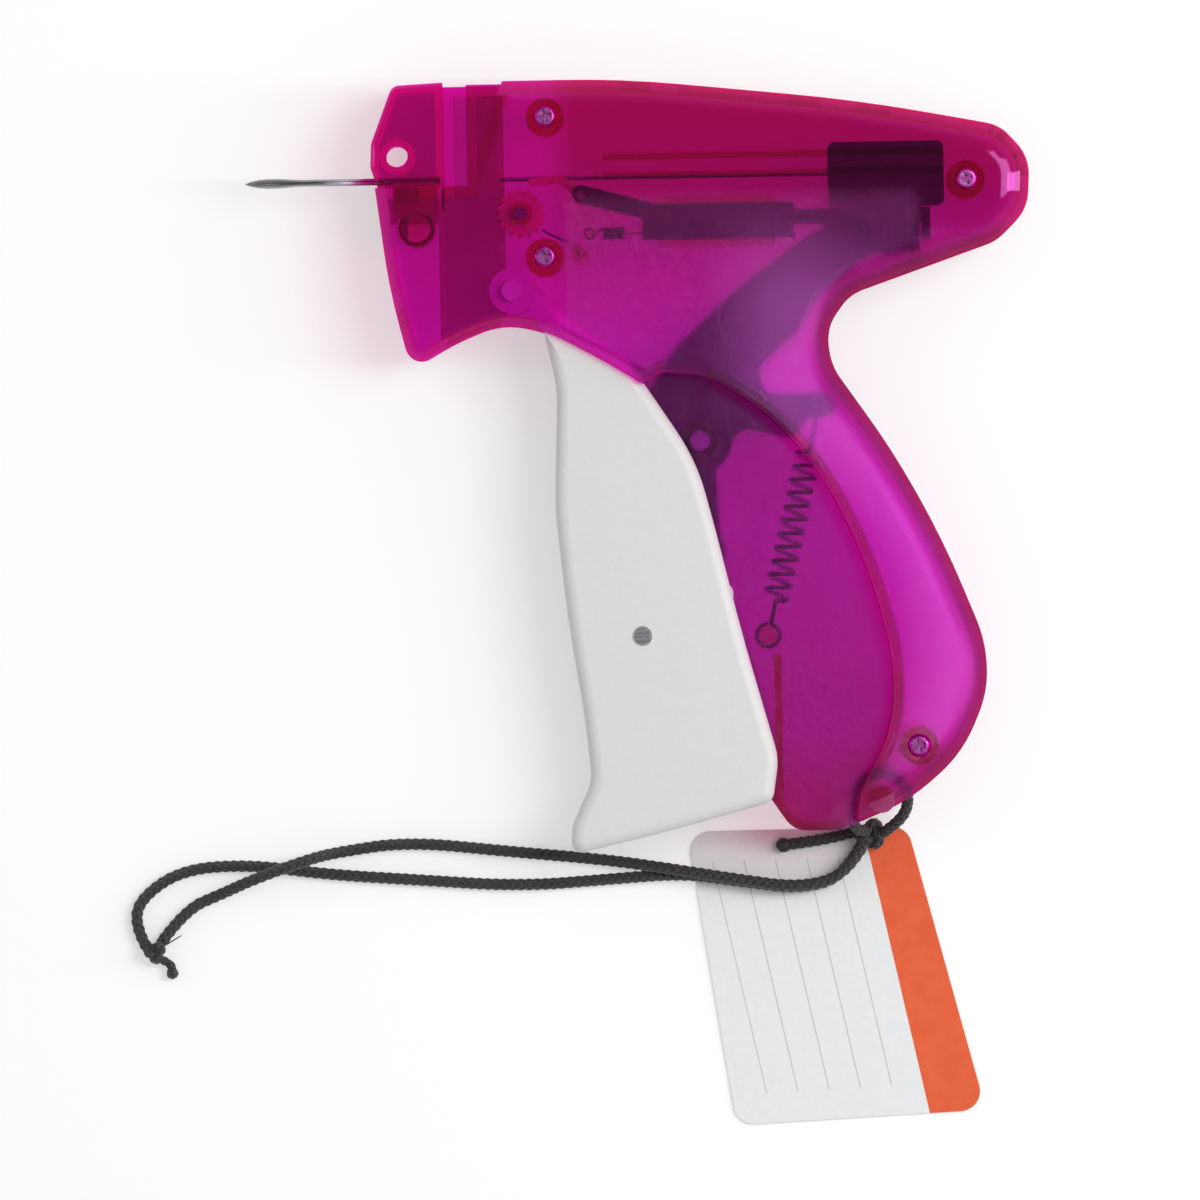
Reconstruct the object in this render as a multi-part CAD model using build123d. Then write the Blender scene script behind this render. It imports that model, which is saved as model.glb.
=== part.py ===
"""Garment tag attacher (tagging tool) with its wrist strap and hang card.

Working axes while the parts are drawn: X runs back along the needle, Y runs up from the grip to the top of
the body, Z is the thickness. The needle's axis is the line Y = 0, Z = 0 and X = 0 is the front of the nose.
The two shells meet at Z = 0. At the end everything is moved so that the origin lies on the table under the
middle of the tool, which lies on its right side.
"""

from build123d import *
from math import atan2, cos, degrees, hypot, pi, radians, sin, tan
import os

# ---- housing ------------------------------------------------------------------------------------------
BODY_HALF = 12.5            # half the thickness of the body and the grip
NOSE_TIP_HALF = 8.9         # half the thickness at the very front of the nose
NOSE_TAPER_LENGTH = 33.0    # length over which the nose widens to the body
CAP_HALF = 8.4              # half the thickness of the nose above the needle
WALL = 2.0                  # moulded wall of the shells
BACK_ROUND = 6.0            # rounding of the top, rear and back edges
BACK_ROUND_INSIDE = 3.0
NOSE_ROUND = 3.0            # rounding of the nose and underside edges
STEP_ROUND = 1.0            # rounding of the step beside the trigger
NOSE_SPLIT = -1.4           # height of the seam under the nose cap
SMOOTH = 400.0              # corner radius of a gentle bend, limited by the runs beside it
RUNNING_FIT = 0.05          # radial clearance of pins that something turns on
SEAT_FIT = 0.02             # radial clearance of pins that are pressed in
MOVING_GAP = 0.3            # gap between a moving part and what it passes
TRIGGER_HALF = 9.0          # half the thickness of the trigger, which straddles the front of the grip
CHEEK = 2.0
TONGUE_HALF = TRIGGER_HALF - CHEEK - MOVING_GAP
TONGUE_WALL = 1.5

BOSS_RADIUS = 3.8           # screw bosses
SCREW_RADIUS = 1.1
SCREW_LENGTH = 17.0
SCREW_HEAD_RADIUS = 2.2
SCREW_HEAD_HEIGHT = 1.8
SCREW_HEAD_DEPTH = 1.6      # how deep the heads are sunk
SCREW_HOLE_FIT = 0.15
SCREW_PLACES = [(34.6, 12.2), (34.1, -15.8), (118.4, -1.8), (106.9, -114.6)]

# ---- nose, needle and clip channel --------------------------------------------------------------------
NEEDLE_TIP = -25.6          # X of the needle's point
NEEDLE_BACK = 13.4          # X of the needle's rear end
NEEDLE_RADIUS = 0.85
NEEDLE_BORE = 0.6
NEEDLE_SLOT = 0.45          # slot along the needle for the tag's thread
NEEDLE_BEVEL = 24.0         # degrees between the needle's axis and its cut point
HUB_FRONT = 4.0
HUB_LENGTH = 8.8
HUB_FOOT = -7.15
HUB_TOP = -0.3
HUB_HALF = 1.9
HUB_FIT = 0.15

CAP_LENGTH = 14.2           # nose cap, from the front of the nose to the thread slot
CAP_WALL = 1.6
CAP_WEB_HALF = 2.6
CAP_ROUND = 1.2
CAP_HOLE = (4.9, 4.9)
CAP_HOLE_RADIUS = 2.2
CAP_HOLE_WALL = 1.5
CAP_FOOT = -1.2
CAP_EAR_FRONT = 4.6
CAP_EAR_WIDTH = 4.6
CAP_EAR_DEPTH = 3.6
CAP_EAR_INNER = 5.2
CAP_EAR_OUTER = 6.9
CAP_FIT = 0.2

CHANNEL_FRONT = 14.2        # X of the clip channel's front wall
CHANNEL_LENGTH = 10.8
CHANNEL_HALF = 2.3
CHANNEL_WALL = 1.2
NOSE_TOP_HEIGHT = 18.8
THREAD_SLOT = 4.7           # width of the open slot for the tag threads

KNIFE_THICKNESS = 0.5
KNIFE_HALF = 1.8
KNIFE_FOOT = -5.9
KNIFE_TOP = -1.5
KNIFE_FIT = 0.05

LOCK_PLACE = (8.4, -9.3)    # needle lock cam
LOCK_RADIUS = 2.9
LOCK_HEAD_RADIUS = 3.6
LOCK_HEAD_HEIGHT = 1.4
LOCK_HEAD_FACE = 9.3        # height of the head's outer face
LOCK_END = 1.0              # how far the cam reaches past the middle
LOCK_FLAT = 1.6
LOCK_FIT = 0.08
LOCK_SLOT = 1.0

# ---- trigger ------------------------------------------------------------------------------------------
TRIGGER_PIVOT = (27.4, -22.5)
TRIGGER_TRAVEL = 13.7       # degrees of squeeze
TRIGGER_WEB = 3.0
TRIGGER_ROUND = 2.4
TRIGGER_EAR = 4.5
TRUNNION_RADIUS = 2.0
TRUNNION_REACH = 10.8
TRUNNION_END_GAP = 0.1
CROSS_PIN = (52.1, -91.8)
CROSS_PIN_RADIUS = 1.95

# ---- lever, link and slide ----------------------------------------------------------------------------
LEVER_PIVOT = (64.4, -53.0)
LEVER_HALF = 2.5
LEVER_PIN_RADIUS = 2.0
LEVER_POST_RADIUS = 3.4
DRIVE_PIN = (103.0, -11.6)
DRIVE_PIN_RADIUS = 1.6
LINK_PIN = (65.5, -74.5)
LINK_PIN_RADIUS = 1.5
LOWER_ARM_WIDTH = 5.6
LOWER_ARM_LOW = -2.5
LOWER_ARM_HIGH = -0.8
LINK_WIDTH = 6.6
LINK_LOW = -4.4
LINK_HIGH = -2.8
LINK_EYE_PLAY = 0.85        # lost motion of the link's upper eye
LINK_EYE_SHIFT = (0.32, -0.59)
LINK_SLEEVE_RADIUS = 3.2
LINK_SLEEVE_HALF = 4.9
SPRING_STUD = (88.4, -46.3)
SPRING_STUD_RADIUS = 1.0

SLIDE_FRONT = 91.0
SLIDE_LENGTH = 23.0
SLIDE_TOP = 6.1
SLIDE_FOOT = -6.7
SLIDE_HALF = 5.0
SLIDE_END = 3.0             # solid rear of the slide
SLIDE_NOSE = 2.0            # solid front, above the lever's path, in which the rod is held
SLIDE_NOSE_FOOT = -1.4
SLIDE_SLOT_HALF = 2.8
YOKE_WIDTH = 10.2           # cheeks that carry the slots for the drive pin
YOKE_FOOT = -16.2
YOKE_MIDDLE = 103.9
SLOT_HALF_WIDTH = 2.7
SLOT_TOP = 5.45
SLOT_SKIN = 0.6             # what is left of each cheek outside the slot
SLOT_REACH = SLIDE_HALF - SLOT_SKIN
DRIVE_PIN_HALF = SLOT_REACH - 0.1
RIDGE_LOW = 1.0
RIDGE_HIGH = 3.4
RIDGE_OUT = 1.2
RAIL_WALL = 1.2
RAIL_FRONT = 46.0
RAIL_BACK = 114.0
RAIL_FIT = 0.08
ROD_RADIUS = 0.475
ROD_TIP = 25.6

# ---- feed ---------------------------------------------------------------------------------------------
WHEEL_PLACE = (29.5, -7.0)
WHEEL_RADIUS = 5.0
WHEEL_ROOT = 4.1
WHEEL_TEETH = 15
WHEEL_HALF = 0.9
WHEEL_HUB = 2.1
AXLE_RADIUS = 1.2
AXLE_HALF = 9.0
AXLE_POST_RADIUS = 2.4
RATCHET_LOW = 3.7
RATCHET_HIGH = 5.2
FEED_BAR_LOW = 5.6
FEED_BAR_HIGH = 7.8
FEED_BAR_FRONT = 53.7
FEED_BAR_LENGTH = 30.2
FEED_BAR_TOP = -5.6
FEED_BAR_FOOT = -12.8
FEED_TAIL_TOP = -7.2
FEED_TAIL_FOOT = -10.2
FEED_ARM_WIDTH = 3.6
LUG_GAP = 0.3
LUG_THICKNESS = 1.8
LUG_FOOT = -13.4
LUG_LOW = 3.0
PAWL_PIVOT = (41.5, -3.4)
PAWL_KNEE = (37.5, -0.3)
PAWL_TIP = (31.9, -0.75)
PAWL_PIN_RADIUS = 0.8
PAWL_EYE = 1.6
PAWL_WIDTH = 1.6
FEED_STUD = (55.2, -11.4)
FEED_PEG = (43.2, -11.4)
FEED_PEG_RADIUS = 0.8
FEED_SPRING_LEVEL = (BODY_HALF - WALL + FEED_BAR_HIGH) / 2 - 0.2
DETENT_POST = (41.0, -15.6)
DETENT_POST_RADIUS = 1.6
DETENT_KNEE = (40.2, -13.8)
DETENT_TIP = (33.75, -10.45)
DETENT_THICKNESS = 0.4

# ---- springs ------------------------------------------------------------------------------------------
RETURN_PEG = (77.3, -92.1)
RETURN_PEG_RADIUS = 1.8
RETURN_WIRE = 0.4           # wire radius
RETURN_COIL = 2.35          # mean radius of the coils
RETURN_TURNS = 11
RETURN_START = 9.6          # length of the straight hook at the lever's end
RETURN_STOP = 7.0           # and at the peg's end
RETURN_LEVEL = 2.3
FEED_WIRE = 0.18
FEED_COIL = (BODY_HALF - WALL - FEED_BAR_HIGH) / 2 - FEED_WIRE - 0.07
FEED_TURNS = 9

# ---- strap and card -----------------------------------------------------------------------------------
TABLE = -BODY_HALF
CORD_RADIUS = 1.25
POST = (99.2, -125.2)       # strap post in the foot of the grip
POST_RADIUS = 2.7
POST_GROOVE = 7.5           # outer radius of the space round the post
POST_GROOVE_HALF = 5.4
HITCH_KNOT = (97.2, -132.4, -8.9)
HITCH_KNOT_RADIUS = 3.0
END_KNOT = (-46.8, -153.4, -10.0)
END_KNOT_RADIUS = 2.4
CARD_THICKNESS = 0.5
CARD_ROUND = 4.0
CARD_CORNERS = [(60.4, -131.3), (104.6, -131.0), (119.4, -188.2), (69.3, -190.4)]

# Route of each cord: points of its centre line.
RING = [
    (96.6, -131.7, -7.9), (93.7, -131.9, -4.4), (93.9, -127.2, -2.6), (95.0, -121.6, -1.8),
    (99.6, -119.6, -1.4), (104.0, -121.6, -1.8), (105.0, -126.4, -2.8), (102.8, -130.2, -4.6),
    (99.3, -132.4, -8.6),
]
STRAND_A = [
    (95.8, -134.2, -7.9), (92.4, -140.4, -8.05), (83.0, -142.9, -8.05), (70.0, -140.9, -8.05),
    (57.0, -138.6, -8.15), (44.5, -136.6, -11.2), (25.0, -134.6, -11.2), (4.5, -132.2, -11.2),
    (-9.5, -134.0, -11.2), (-15.6, -135.3, -5.7), (-26.4, -139.0, -5.7), (-33.0, -141.9, -11.2),
    (-40.6, -145.0, -11.2), (-45.7, -151.8, -11.1),
]
STRAND_B = [
    (95.6, -134.0, -10.6), (91.8, -141.0, -10.65), (82.6, -143.1, -10.65), (71.0, -141.4, -10.65),
    (59.6, -139.6, -10.65), (46.0, -140.4, -11.2), (27.0, -141.6, -11.2), (6.0, -139.9, -11.2),
    (-12.0, -138.5, -11.2), (-27.4, -136.2, -11.2), (-41.0, -136.9, -11.2), (-49.6, -142.6, -11.2),
    (-50.8, -148.0, -11.2), (-48.5, -152.4, -11.1),
]
STUB = [(94.6, -131.6, -10.0), (89.0, -133.4, -10.65), (80.1, -134.2, -10.7)]

# ---- outlines (X, Y, corner radius) -------------------------------------------------------------------
TOP_AND_BACK = [
    (26.2, 19.5, 0.0), (50.0, 19.5, SMOOTH), (97.0, 14.4, SMOOTH), (125.3, 8.9, 8.0), (131.2, 2.4, 9.0),
    (130.6, -8.0, 9.0), (124.6, -14.0, 9.0), (95.0, -24.2, 9.0), (90.0, -31.0, 9.0), (90.9, -38.6, 12.0),
    (103.0, -56.0, SMOOTH), (112.6, -74.0, SMOOTH), (120.6, -94.0, SMOOTH), (120.9, -104.0, 30.0),
    (115.6, -116.4, 30.0), (104.6, -125.7, SMOOTH), (93.6, -130.2, 0.0),
]
STEP_LINE = [
    (95.1, -123.0, 5.0), (101.6, -111.0, 30.0), (101.9, -97.0, 40.0), (97.3, -78.6, SMOOTH),
    (88.1, -59.6, SMOOTH), (77.5, -47.4, SMOOTH), (66.0, -40.3, 12.0), (57.0, -39.2, 3.0),
    (53.4, -41.7, 0.0),
]
UNDERSIDE_AND_NOSE = [
    (44.5, -36.2, SMOOTH), (34.0, -30.6, SMOOTH), (25.5, -28.9, SMOOTH), (17.0, -32.0, SMOOTH),
    (7.0, -37.7, 3.2), (3.0, -22.0, SMOOTH), (0.4, NOSE_SPLIT, 0.0), (19.0, NOSE_SPLIT, 0.0),
]
TONGUE = [
    (47.5, -43.0, 1.0), (50.5, -33.0, 4.0), (76.0, -30.0, 8.0), (100.0, -60.0, 20.0), (106.0, -90.0, 20.0),
    (104.0, -118.0, 9.0), (95.0, -129.8, 3.0), (90.6, -131.2, 6.0), (81.6, -131.2, 5.0), (77.0, -124.4, 2.0),
    (73.2, -121.8, 3.0), (67.6, -112.0, SMOOTH), (59.2, -88.0, SMOOTH), (51.6, -66.0, SMOOTH),
]
TONGUE_MOUTH = [(44.0, -43.6, 0.0), (57.0, -46.0, 0.0), (71.0, -102.0, 0.0), (58.0, -102.0, 0.0)]
CAP_SIDE = [
    (0.9, CAP_FOOT, 0.0), (-0.4, 2.6, 3.0), (-0.2, 7.4, 4.0), (4.2, 18.9, 2.2), (CAP_LENGTH, 19.4, 0.0),
    (CAP_LENGTH, CAP_FOOT, 0.0),
]
TRIGGER_FRONT = [
    (33.6, -30.6, 0.0), (36.1, -42.0, 30.0), (35.2, -66.0, 60.0), (37.3, -88.0, SMOOTH),
    (40.4, -108.0, SMOOTH), (41.6, -120.6, 10.0), (37.4, -129.6, 6.0), (37.2, -135.3, 2.0),
]
TRIGGER_REAR = [
    (56.0, -131.0, SMOOTH), (77.6, -125.3, 2.6), (78.9, -116.6, 12.0), (72.0, -91.5, SMOOTH),
    (67.2, -71.0, SMOOTH), (63.6, -57.0, SMOOTH), (56.0, -45.2, SMOOTH), (50.0, -36.4, 3.0),
    (38.5, -27.5, 6.0), (31.3, -20.6, 0.0), (30.6, -25.6, 0.0),
]
LEVER_SIDE = [
    (53.6, -44.4, 3.0), (59.4, -34.6, 4.0), (72.0, -22.9, 6.0), (85.2, -13.3, 5.0), (98.0, -6.4, 6.0),
    (108.4, -6.2, 5.2), (108.4, -16.9, 5.2), (99.0, -16.2, 6.0), (88.0, -25.2, 5.0), (84.0, -32.0, 4.0),
    (76.0, -39.0, 4.0), (78.0, -43.8, 2.0), (91.0, -43.8, 2.6), (91.4, -49.0, 2.6), (86.6, -48.6, 2.0),
    (82.6, -52.8, 2.0), (72.0, -50.4, 3.0), (68.8, -59.0, 5.0), (58.0, -59.0, 5.0),
]
TRIGGER_WINDOW = [
    (30.3, -25.2, 0.0), (45.0, -32.0, 3.0), (57.0, -35.6, 3.0), (66.4, -38.4, 2.0), (66.4, -44.5, 1.0),
    (53.0, -48.0, 1.0), (33.2, -36.0, 0.0), (33.2, -30.6, 0.0),
]
WEB_WINDOW = [
    (30.3, -25.2, 0.0), (45.0, -32.0, 3.0), (49.0, -33.4, 1.0), (51.2, -36.0, 1.0), (51.2, -46.9, 0.0),
    (33.2, -36.0, 0.0), (33.2, -30.6, 0.0),
]


# ---- drawing helpers ----------------------------------------------------------------------------------
def outline(corners):
    """Closed face through (X, Y, radius) corners, each rounded by an arc that its runs leave room for."""
    points = [Vector(x, y) for x, y, _ in corners]
    count = len(points)
    arcs = []
    for i, (_, _, radius) in enumerate(corners):
        back = points[i - 1] - points[i]
        ahead = points[(i + 1) % count] - points[i]
        half_turn = radians(180 - back.get_angle(ahead)) / 2
        reach = min(radius * tan(half_turn), 0.48 * back.length, 0.48 * ahead.length)
        if reach < 0.01:
            arcs.append((points[i], None, points[i]))
            continue
        bend = reach / tan(half_turn)
        bisector = (back.normalized() + ahead.normalized()).normalized()
        middle = points[i] + bisector * bend * (1 / cos(half_turn) - 1)
        arcs.append((points[i] + back.normalized() * reach, middle, points[i] + ahead.normalized() * reach))
    edges = []
    for i, (start, middle, end) in enumerate(arcs):
        if middle is not None:
            edges.append(Edge.make_three_point_arc(start, middle, end))
        edges.append(Edge.make_line(end, arcs[(i + 1) % count][0]))
    return Face(Wire(edges))


def slab(face, low, high):
    """Solid between two heights with the given outline."""
    return Pos(0, 0, low) * extrude(face, amount=high - low, dir=(0, 0, 1))


def post(place, radius, low, high):
    """Cylinder along Z at an (X, Y) place."""
    return Pos(place[0], place[1], (low + high) / 2) * Cylinder(radius, high - low)


def block(x0, x1, y0, y1, z0, z1):
    """Box between six faces."""
    return Pos((x0 + x1) / 2, (y0 + y1) / 2, (z0 + z1) / 2) * Box(x1 - x0, y1 - y0, z1 - z0)


def bar(start, end, width, low, high):
    """Flat bar with round ends between two (X, Y) places."""
    length = hypot(end[0] - start[0], end[1] - start[1])
    angle = degrees(atan2(end[1] - start[1], end[0] - start[0]))
    middle = ((start[0] + end[0]) / 2, (start[1] + end[1]) / 2, (low + high) / 2)
    plank = Pos(*middle) * Rot(0, 0, angle) * Box(length, width, high - low)
    return plank + post(start, width / 2, low, high) + post(end, width / 2, low, high)


def distance_to_run(point, corners):
    """Smallest distance in X and Y from a point to the open run of corners."""
    best = 1e9
    for (x0, y0, _), (x1, y1, _) in zip(corners, corners[1:]):
        along = ((point.X - x0) * (x1 - x0) + (point.Y - y0) * (y1 - y0)) / ((x1 - x0) ** 2 + (y1 - y0) ** 2)
        along = max(0.0, min(1.0, along))
        best = min(best, hypot(point.X - x0 - along * (x1 - x0), point.Y - y0 - along * (y1 - y0)))
    return best


def turned(place, centre, angle):
    """The (X, Y) place turned about a centre by an angle in degrees."""
    dx, dy = place[0] - centre[0], place[1] - centre[1]
    c, s = cos(radians(angle)), sin(radians(angle))
    return (centre[0] + dx * c - dy * s, centre[1] + dx * s + dy * c)


# ---- shells -------------------------------------------------------------------------------------------
def thickness_limit(half):
    """Prism along Y whose top follows the taper of the nose and then the flat side of the body."""
    slope = (BODY_HALF - NOSE_TIP_HALF) / NOSE_TAPER_LENGTH
    front = half - slope * (NOSE_TAPER_LENGTH + 10)
    profile = [(-10, 0, 0), (-10, front, 0), (NOSE_TAPER_LENGTH, half, 60), (150, half, 0), (150, 0, 0)]
    return Pos(0, 60, 0) * Rot(90, 0, 0) * extrude(outline(profile), amount=240, dir=(0, 0, 1))


def half_body(depth, back_round, front_round, step_round):
    """Raised body and grip on the +Z side, or with a depth the space inside its walls."""
    face = outline(TOP_AND_BACK + STEP_LINE + UNDERSIDE_AND_NOSE)
    if depth:
        face = offset(face, amount=-depth, kind=Kind.INTERSECTION).faces()[0]
    half = BODY_HALF - depth

    def rounded(solid, corners, radius):
        edges = [
            edge for edge in solid.edges()
            if edge.bounding_box().min.Z > 1 and distance_to_run(edge.center(), corners) < 1 + depth
        ]
        return fillet(edges, radius=radius)

    solid = rounded(slab(face, 0, half), TOP_AND_BACK[1:-1], back_round)
    solid = solid & thickness_limit(half)
    solid = rounded(solid, UNDERSIDE_AND_NOSE[1:-1], front_round)
    return rounded(solid, STEP_LINE[1:-1], step_round)


def tongue(depth):
    """Recessed front of the grip, or the space inside its walls."""
    face = outline(TONGUE)
    if depth:
        face = offset(face, amount=-depth, kind=Kind.INTERSECTION).faces()[0]
    return slab(face, 0, TONGUE_HALF - depth)


def nose_top(front, depth):
    """Top of the nose behind the nose cap, from the given front to the slanted seam."""
    return block(front + depth, 30.0, -4.0, NOSE_TOP_HEIGHT - depth, 0, CAP_HALF - depth)


def ribs(nose_front, post_low):
    """Ribs and bosses that stand inside both shells."""
    channel_back = CHANNEL_FRONT + CHANNEL_LENGTH
    channel_out = CHANNEL_HALF + CHANNEL_WALL
    rail_low = SLIDE_HALF + 0.4
    hub_rib = block(2.6, CHANNEL_FRONT - CHANNEL_WALL, HUB_FOOT - 1.5, NOSE_SPLIT, 0, channel_out)
    solid = block(CHANNEL_FRONT - CHANNEL_WALL, channel_back + CHANNEL_WALL, -40, NOSE_SPLIT, 0, channel_out)
    solid += block(nose_front, channel_back + CHANNEL_WALL, NOSE_SPLIT, NOSE_TOP_HEIGHT, 0, channel_out)
    solid += hub_rib
    for place in SCREW_PLACES:
        solid += post(place, BOSS_RADIUS, 0, BODY_HALF)
    for low in (RIDGE_HIGH + RAIL_FIT, RIDGE_LOW - RAIL_FIT - RAIL_WALL):
        solid += block(RAIL_FRONT, RAIL_BACK, low, low + RAIL_WALL, rail_low, BODY_HALF)
    solid += post(WHEEL_PLACE, AXLE_POST_RADIUS, post_low, BODY_HALF)
    solid += post(LEVER_PIVOT, LEVER_POST_RADIUS, LEVER_HALF + 0.2, TONGUE_HALF)
    return solid + block(78.5, 79.7, -126, -96, 0, TONGUE_HALF)


def hub_room(top):
    """Room for the needle hub on the +Z side, up to the given height."""
    back = HUB_FRONT + HUB_LENGTH + HUB_FIT
    return block(HUB_FRONT - HUB_FIT, back, HUB_FOOT - HUB_FIT, top, -1, HUB_HALF + HUB_FIT)


def openings():
    """Openings that both shells share."""
    channel_back = CHANNEL_FRONT + CHANNEL_LENGTH
    solid = block(CHANNEL_FRONT, channel_back, -45, 25, -1, CHANNEL_HALF)
    solid += hub_room(0)
    solid += block(
        CHANNEL_FRONT - KNIFE_THICKNESS - KNIFE_FIT, CHANNEL_FRONT + 1, KNIFE_FOOT - KNIFE_FIT, 0,
        -1, KNIFE_HALF + KNIFE_FIT,
    )
    ear_back = CAP_EAR_FRONT + CAP_EAR_WIDTH + CAP_FIT
    solid += block(
        CAP_EAR_FRONT - CAP_FIT, ear_back, CAP_FOOT - CAP_EAR_DEPTH - CAP_FIT, 0,
        CAP_EAR_INNER - CAP_FIT, CAP_EAR_OUTER + CAP_FIT,
    )
    wheel_gap = WHEEL_RADIUS + 0.4
    solid += block(
        channel_back - 0.5, channel_back + CHANNEL_WALL + 1, WHEEL_PLACE[1] - wheel_gap,
        WHEEL_PLACE[1] + wheel_gap, -1, WHEEL_HALF + MOVING_GAP,
    )
    solid += Pos(channel_back, 0, 0) * Rot(0, 90, 0) * Cylinder(ROD_RADIUS + 0.15, 6)
    solid += slab(outline(TRIGGER_WINDOW), TONGUE_HALF, TRIGGER_HALF + MOVING_GAP)
    solid += slab(outline(WEB_WINDOW), -1, TRIGGER_HALF + MOVING_GAP)
    solid += post(TRIGGER_PIVOT, TRUNNION_RADIUS + RUNNING_FIT, 5, TRUNNION_REACH + TRUNNION_END_GAP)
    solid += slab(outline(TONGUE_MOUTH), -1, TONGUE_HALF - TONGUE_WALL)
    angles = (0, TRIGGER_TRAVEL / 2, TRIGGER_TRAVEL + 0.4)
    places = [turned(CROSS_PIN, TRIGGER_PIVOT, angle) for angle in angles]
    for start, end in zip(places, places[1:]):
        solid += bar(start, end, 2 * (CROSS_PIN_RADIUS + 0.4), -1, TONGUE_HALF + 1)
    solid += post(LEVER_PIVOT, LEVER_PIN_RADIUS + SEAT_FIT, -1, TONGUE_HALF - 0.7)
    solid += post(WHEEL_PLACE, AXLE_RADIUS + SEAT_FIT, -1, AXLE_HALF + 0.1)
    solid += post(POST, POST_GROOVE, -1, POST_GROOVE_HALF)
    return solid + block(91.6, 97.5, -134, -126, -1, POST_GROOVE_HALF)


def screw_seat_height():
    """Height of the underside of the screw heads above the middle plane."""
    return BODY_HALF - SCREW_HEAD_DEPTH - SCREW_HEAD_HEIGHT


def plain_shell(nose_front, post_low):
    """Hollow half of the housing on the +Z side with all that both shells share."""
    outer = half_body(0, BACK_ROUND, NOSE_ROUND, STEP_ROUND) + tongue(0) + nose_top(nose_front, 0)
    space = half_body(WALL, BACK_ROUND_INSIDE, 1.0, 0.5) + tongue(TONGUE_WALL) + nose_top(nose_front, WALL)
    shell = outer - space
    shell += outer & ribs(nose_front, post_low)
    shell -= openings()
    return shell + post(POST, POST_RADIUS, 0, BODY_HALF - 1)


def make_left_shell():
    """Left shell: screw heads, the open thread slot, and the pegs of the feed."""
    shell = plain_shell(CHANNEL_FRONT + THREAD_SLOT, RATCHET_HIGH + MOVING_GAP)
    for place in SCREW_PLACES:
        shell -= post(place, SCREW_RADIUS + SCREW_HOLE_FIT, -1, BODY_HALF)
        shell -= post(place, SCREW_HEAD_RADIUS + SCREW_HOLE_FIT, screw_seat_height(), BODY_HALF + 1)
    shell -= post(LOCK_PLACE, LOCK_RADIUS + LOCK_FIT, -1, LOCK_END + 0.2)
    shell -= post(RETURN_PEG, RETURN_PEG_RADIUS + SEAT_FIT, -1, TONGUE_HALF - TONGUE_WALL)
    shell += post(FEED_PEG, FEED_PEG_RADIUS, FEED_SPRING_LEVEL - 0.8, BODY_HALF - 1)
    detent = post(DETENT_POST, DETENT_POST_RADIUS, RATCHET_LOW, BODY_HALF - 1)
    slot = bar(DETENT_POST, DETENT_KNEE, DETENT_THICKNESS + 2 * SEAT_FIT, RATCHET_LOW - 1, RATCHET_HIGH)
    shell += detent - slot
    for low in (FEED_BAR_TOP + 0.1, FEED_BAR_FOOT - 0.1 - RAIL_WALL):
        shell += block(57, 80, low, low + RAIL_WALL, FEED_BAR_LOW, BODY_HALF - 1)
    return shell


def make_right_shell():
    """Right shell: screw threads, the back of the thread slot, the needle lock's bore and the spring peg."""
    shell = plain_shell(CHANNEL_FRONT, WHEEL_HALF + MOVING_GAP)
    for place in SCREW_PLACES:
        shell -= post(place, SCREW_RADIUS + SEAT_FIT, -1, SCREW_LENGTH - screw_seat_height() + 0.6)
    bore = post(LOCK_PLACE, LOCK_RADIUS + LOCK_FIT, -1, BODY_HALF)
    bore_wall = post(LOCK_PLACE, LOCK_RADIUS + 1.2, 0, LOCK_HEAD_FACE - LOCK_HEAD_HEIGHT - 0.1)
    head = post(LOCK_PLACE, LOCK_HEAD_RADIUS + LOCK_FIT, LOCK_HEAD_FACE - LOCK_HEAD_HEIGHT - 0.1, BODY_HALF)
    shell += bore_wall - hub_room(0)
    shell -= bore + head
    shell += post(RETURN_PEG, RETURN_PEG_RADIUS, -(TONGUE_HALF - TONGUE_WALL) + 0.1, TONGUE_HALF - 0.5)
    return mirror(shell, about=Plane.XY)


# ---- nose ---------------------------------------------------------------------------------------------
def make_nose_cap():
    """Nose cap with its cross hole, the groove that holds the needle down, and two ears into the shells."""
    face = outline(CAP_SIDE)
    solid = slab(face, -CAP_HALF, CAP_HALF)
    edges = [
        edge for edge in solid.edges()
        if abs(edge.center().Z) > CAP_HALF - 0.1
        and edge.center().Y > CAP_FOOT + 0.1
        and edge.center().X < CAP_LENGTH - 0.1
    ]
    solid = fillet(edges, radius=CAP_ROUND)
    inner = offset(face, amount=-CAP_WALL, kind=Kind.INTERSECTION).faces()[0]
    pocket = slab(inner, CAP_WEB_HALF, CAP_HALF - CAP_WALL)
    pocket += block(2.4, CAP_LENGTH - CAP_WALL, CAP_FOOT - 1, 2.0, CAP_WEB_HALF, CAP_HALF - CAP_WALL)
    ring = post(CAP_HOLE, CAP_HOLE_RADIUS + CAP_HOLE_WALL, 0, CAP_HALF)
    pocket -= ring
    ear_back = CAP_EAR_FRONT + CAP_EAR_WIDTH
    ear = block(CAP_EAR_FRONT, ear_back, CAP_FOOT - CAP_EAR_DEPTH, 2.0, CAP_EAR_INNER, CAP_EAR_OUTER)
    solid -= pocket
    solid -= mirror(pocket, about=Plane.XY)
    solid += ear
    solid += mirror(ear, about=Plane.XY)
    solid -= post(CAP_HOLE, CAP_HOLE_RADIUS, -CAP_HALF - 1, CAP_HALF + 1)
    groove = NEEDLE_RADIUS + SEAT_FIT
    solid -= Pos(8, 0, 0) * Rot(0, 90, 0) * Cylinder(groove, 20)
    solid -= block(-2, CAP_LENGTH + 1, CAP_FOOT - 1, 0, -groove, groove)
    return solid - hub_room(HUB_TOP + HUB_FIT) - mirror(hub_room(HUB_TOP + HUB_FIT), about=Plane.XY)


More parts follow.
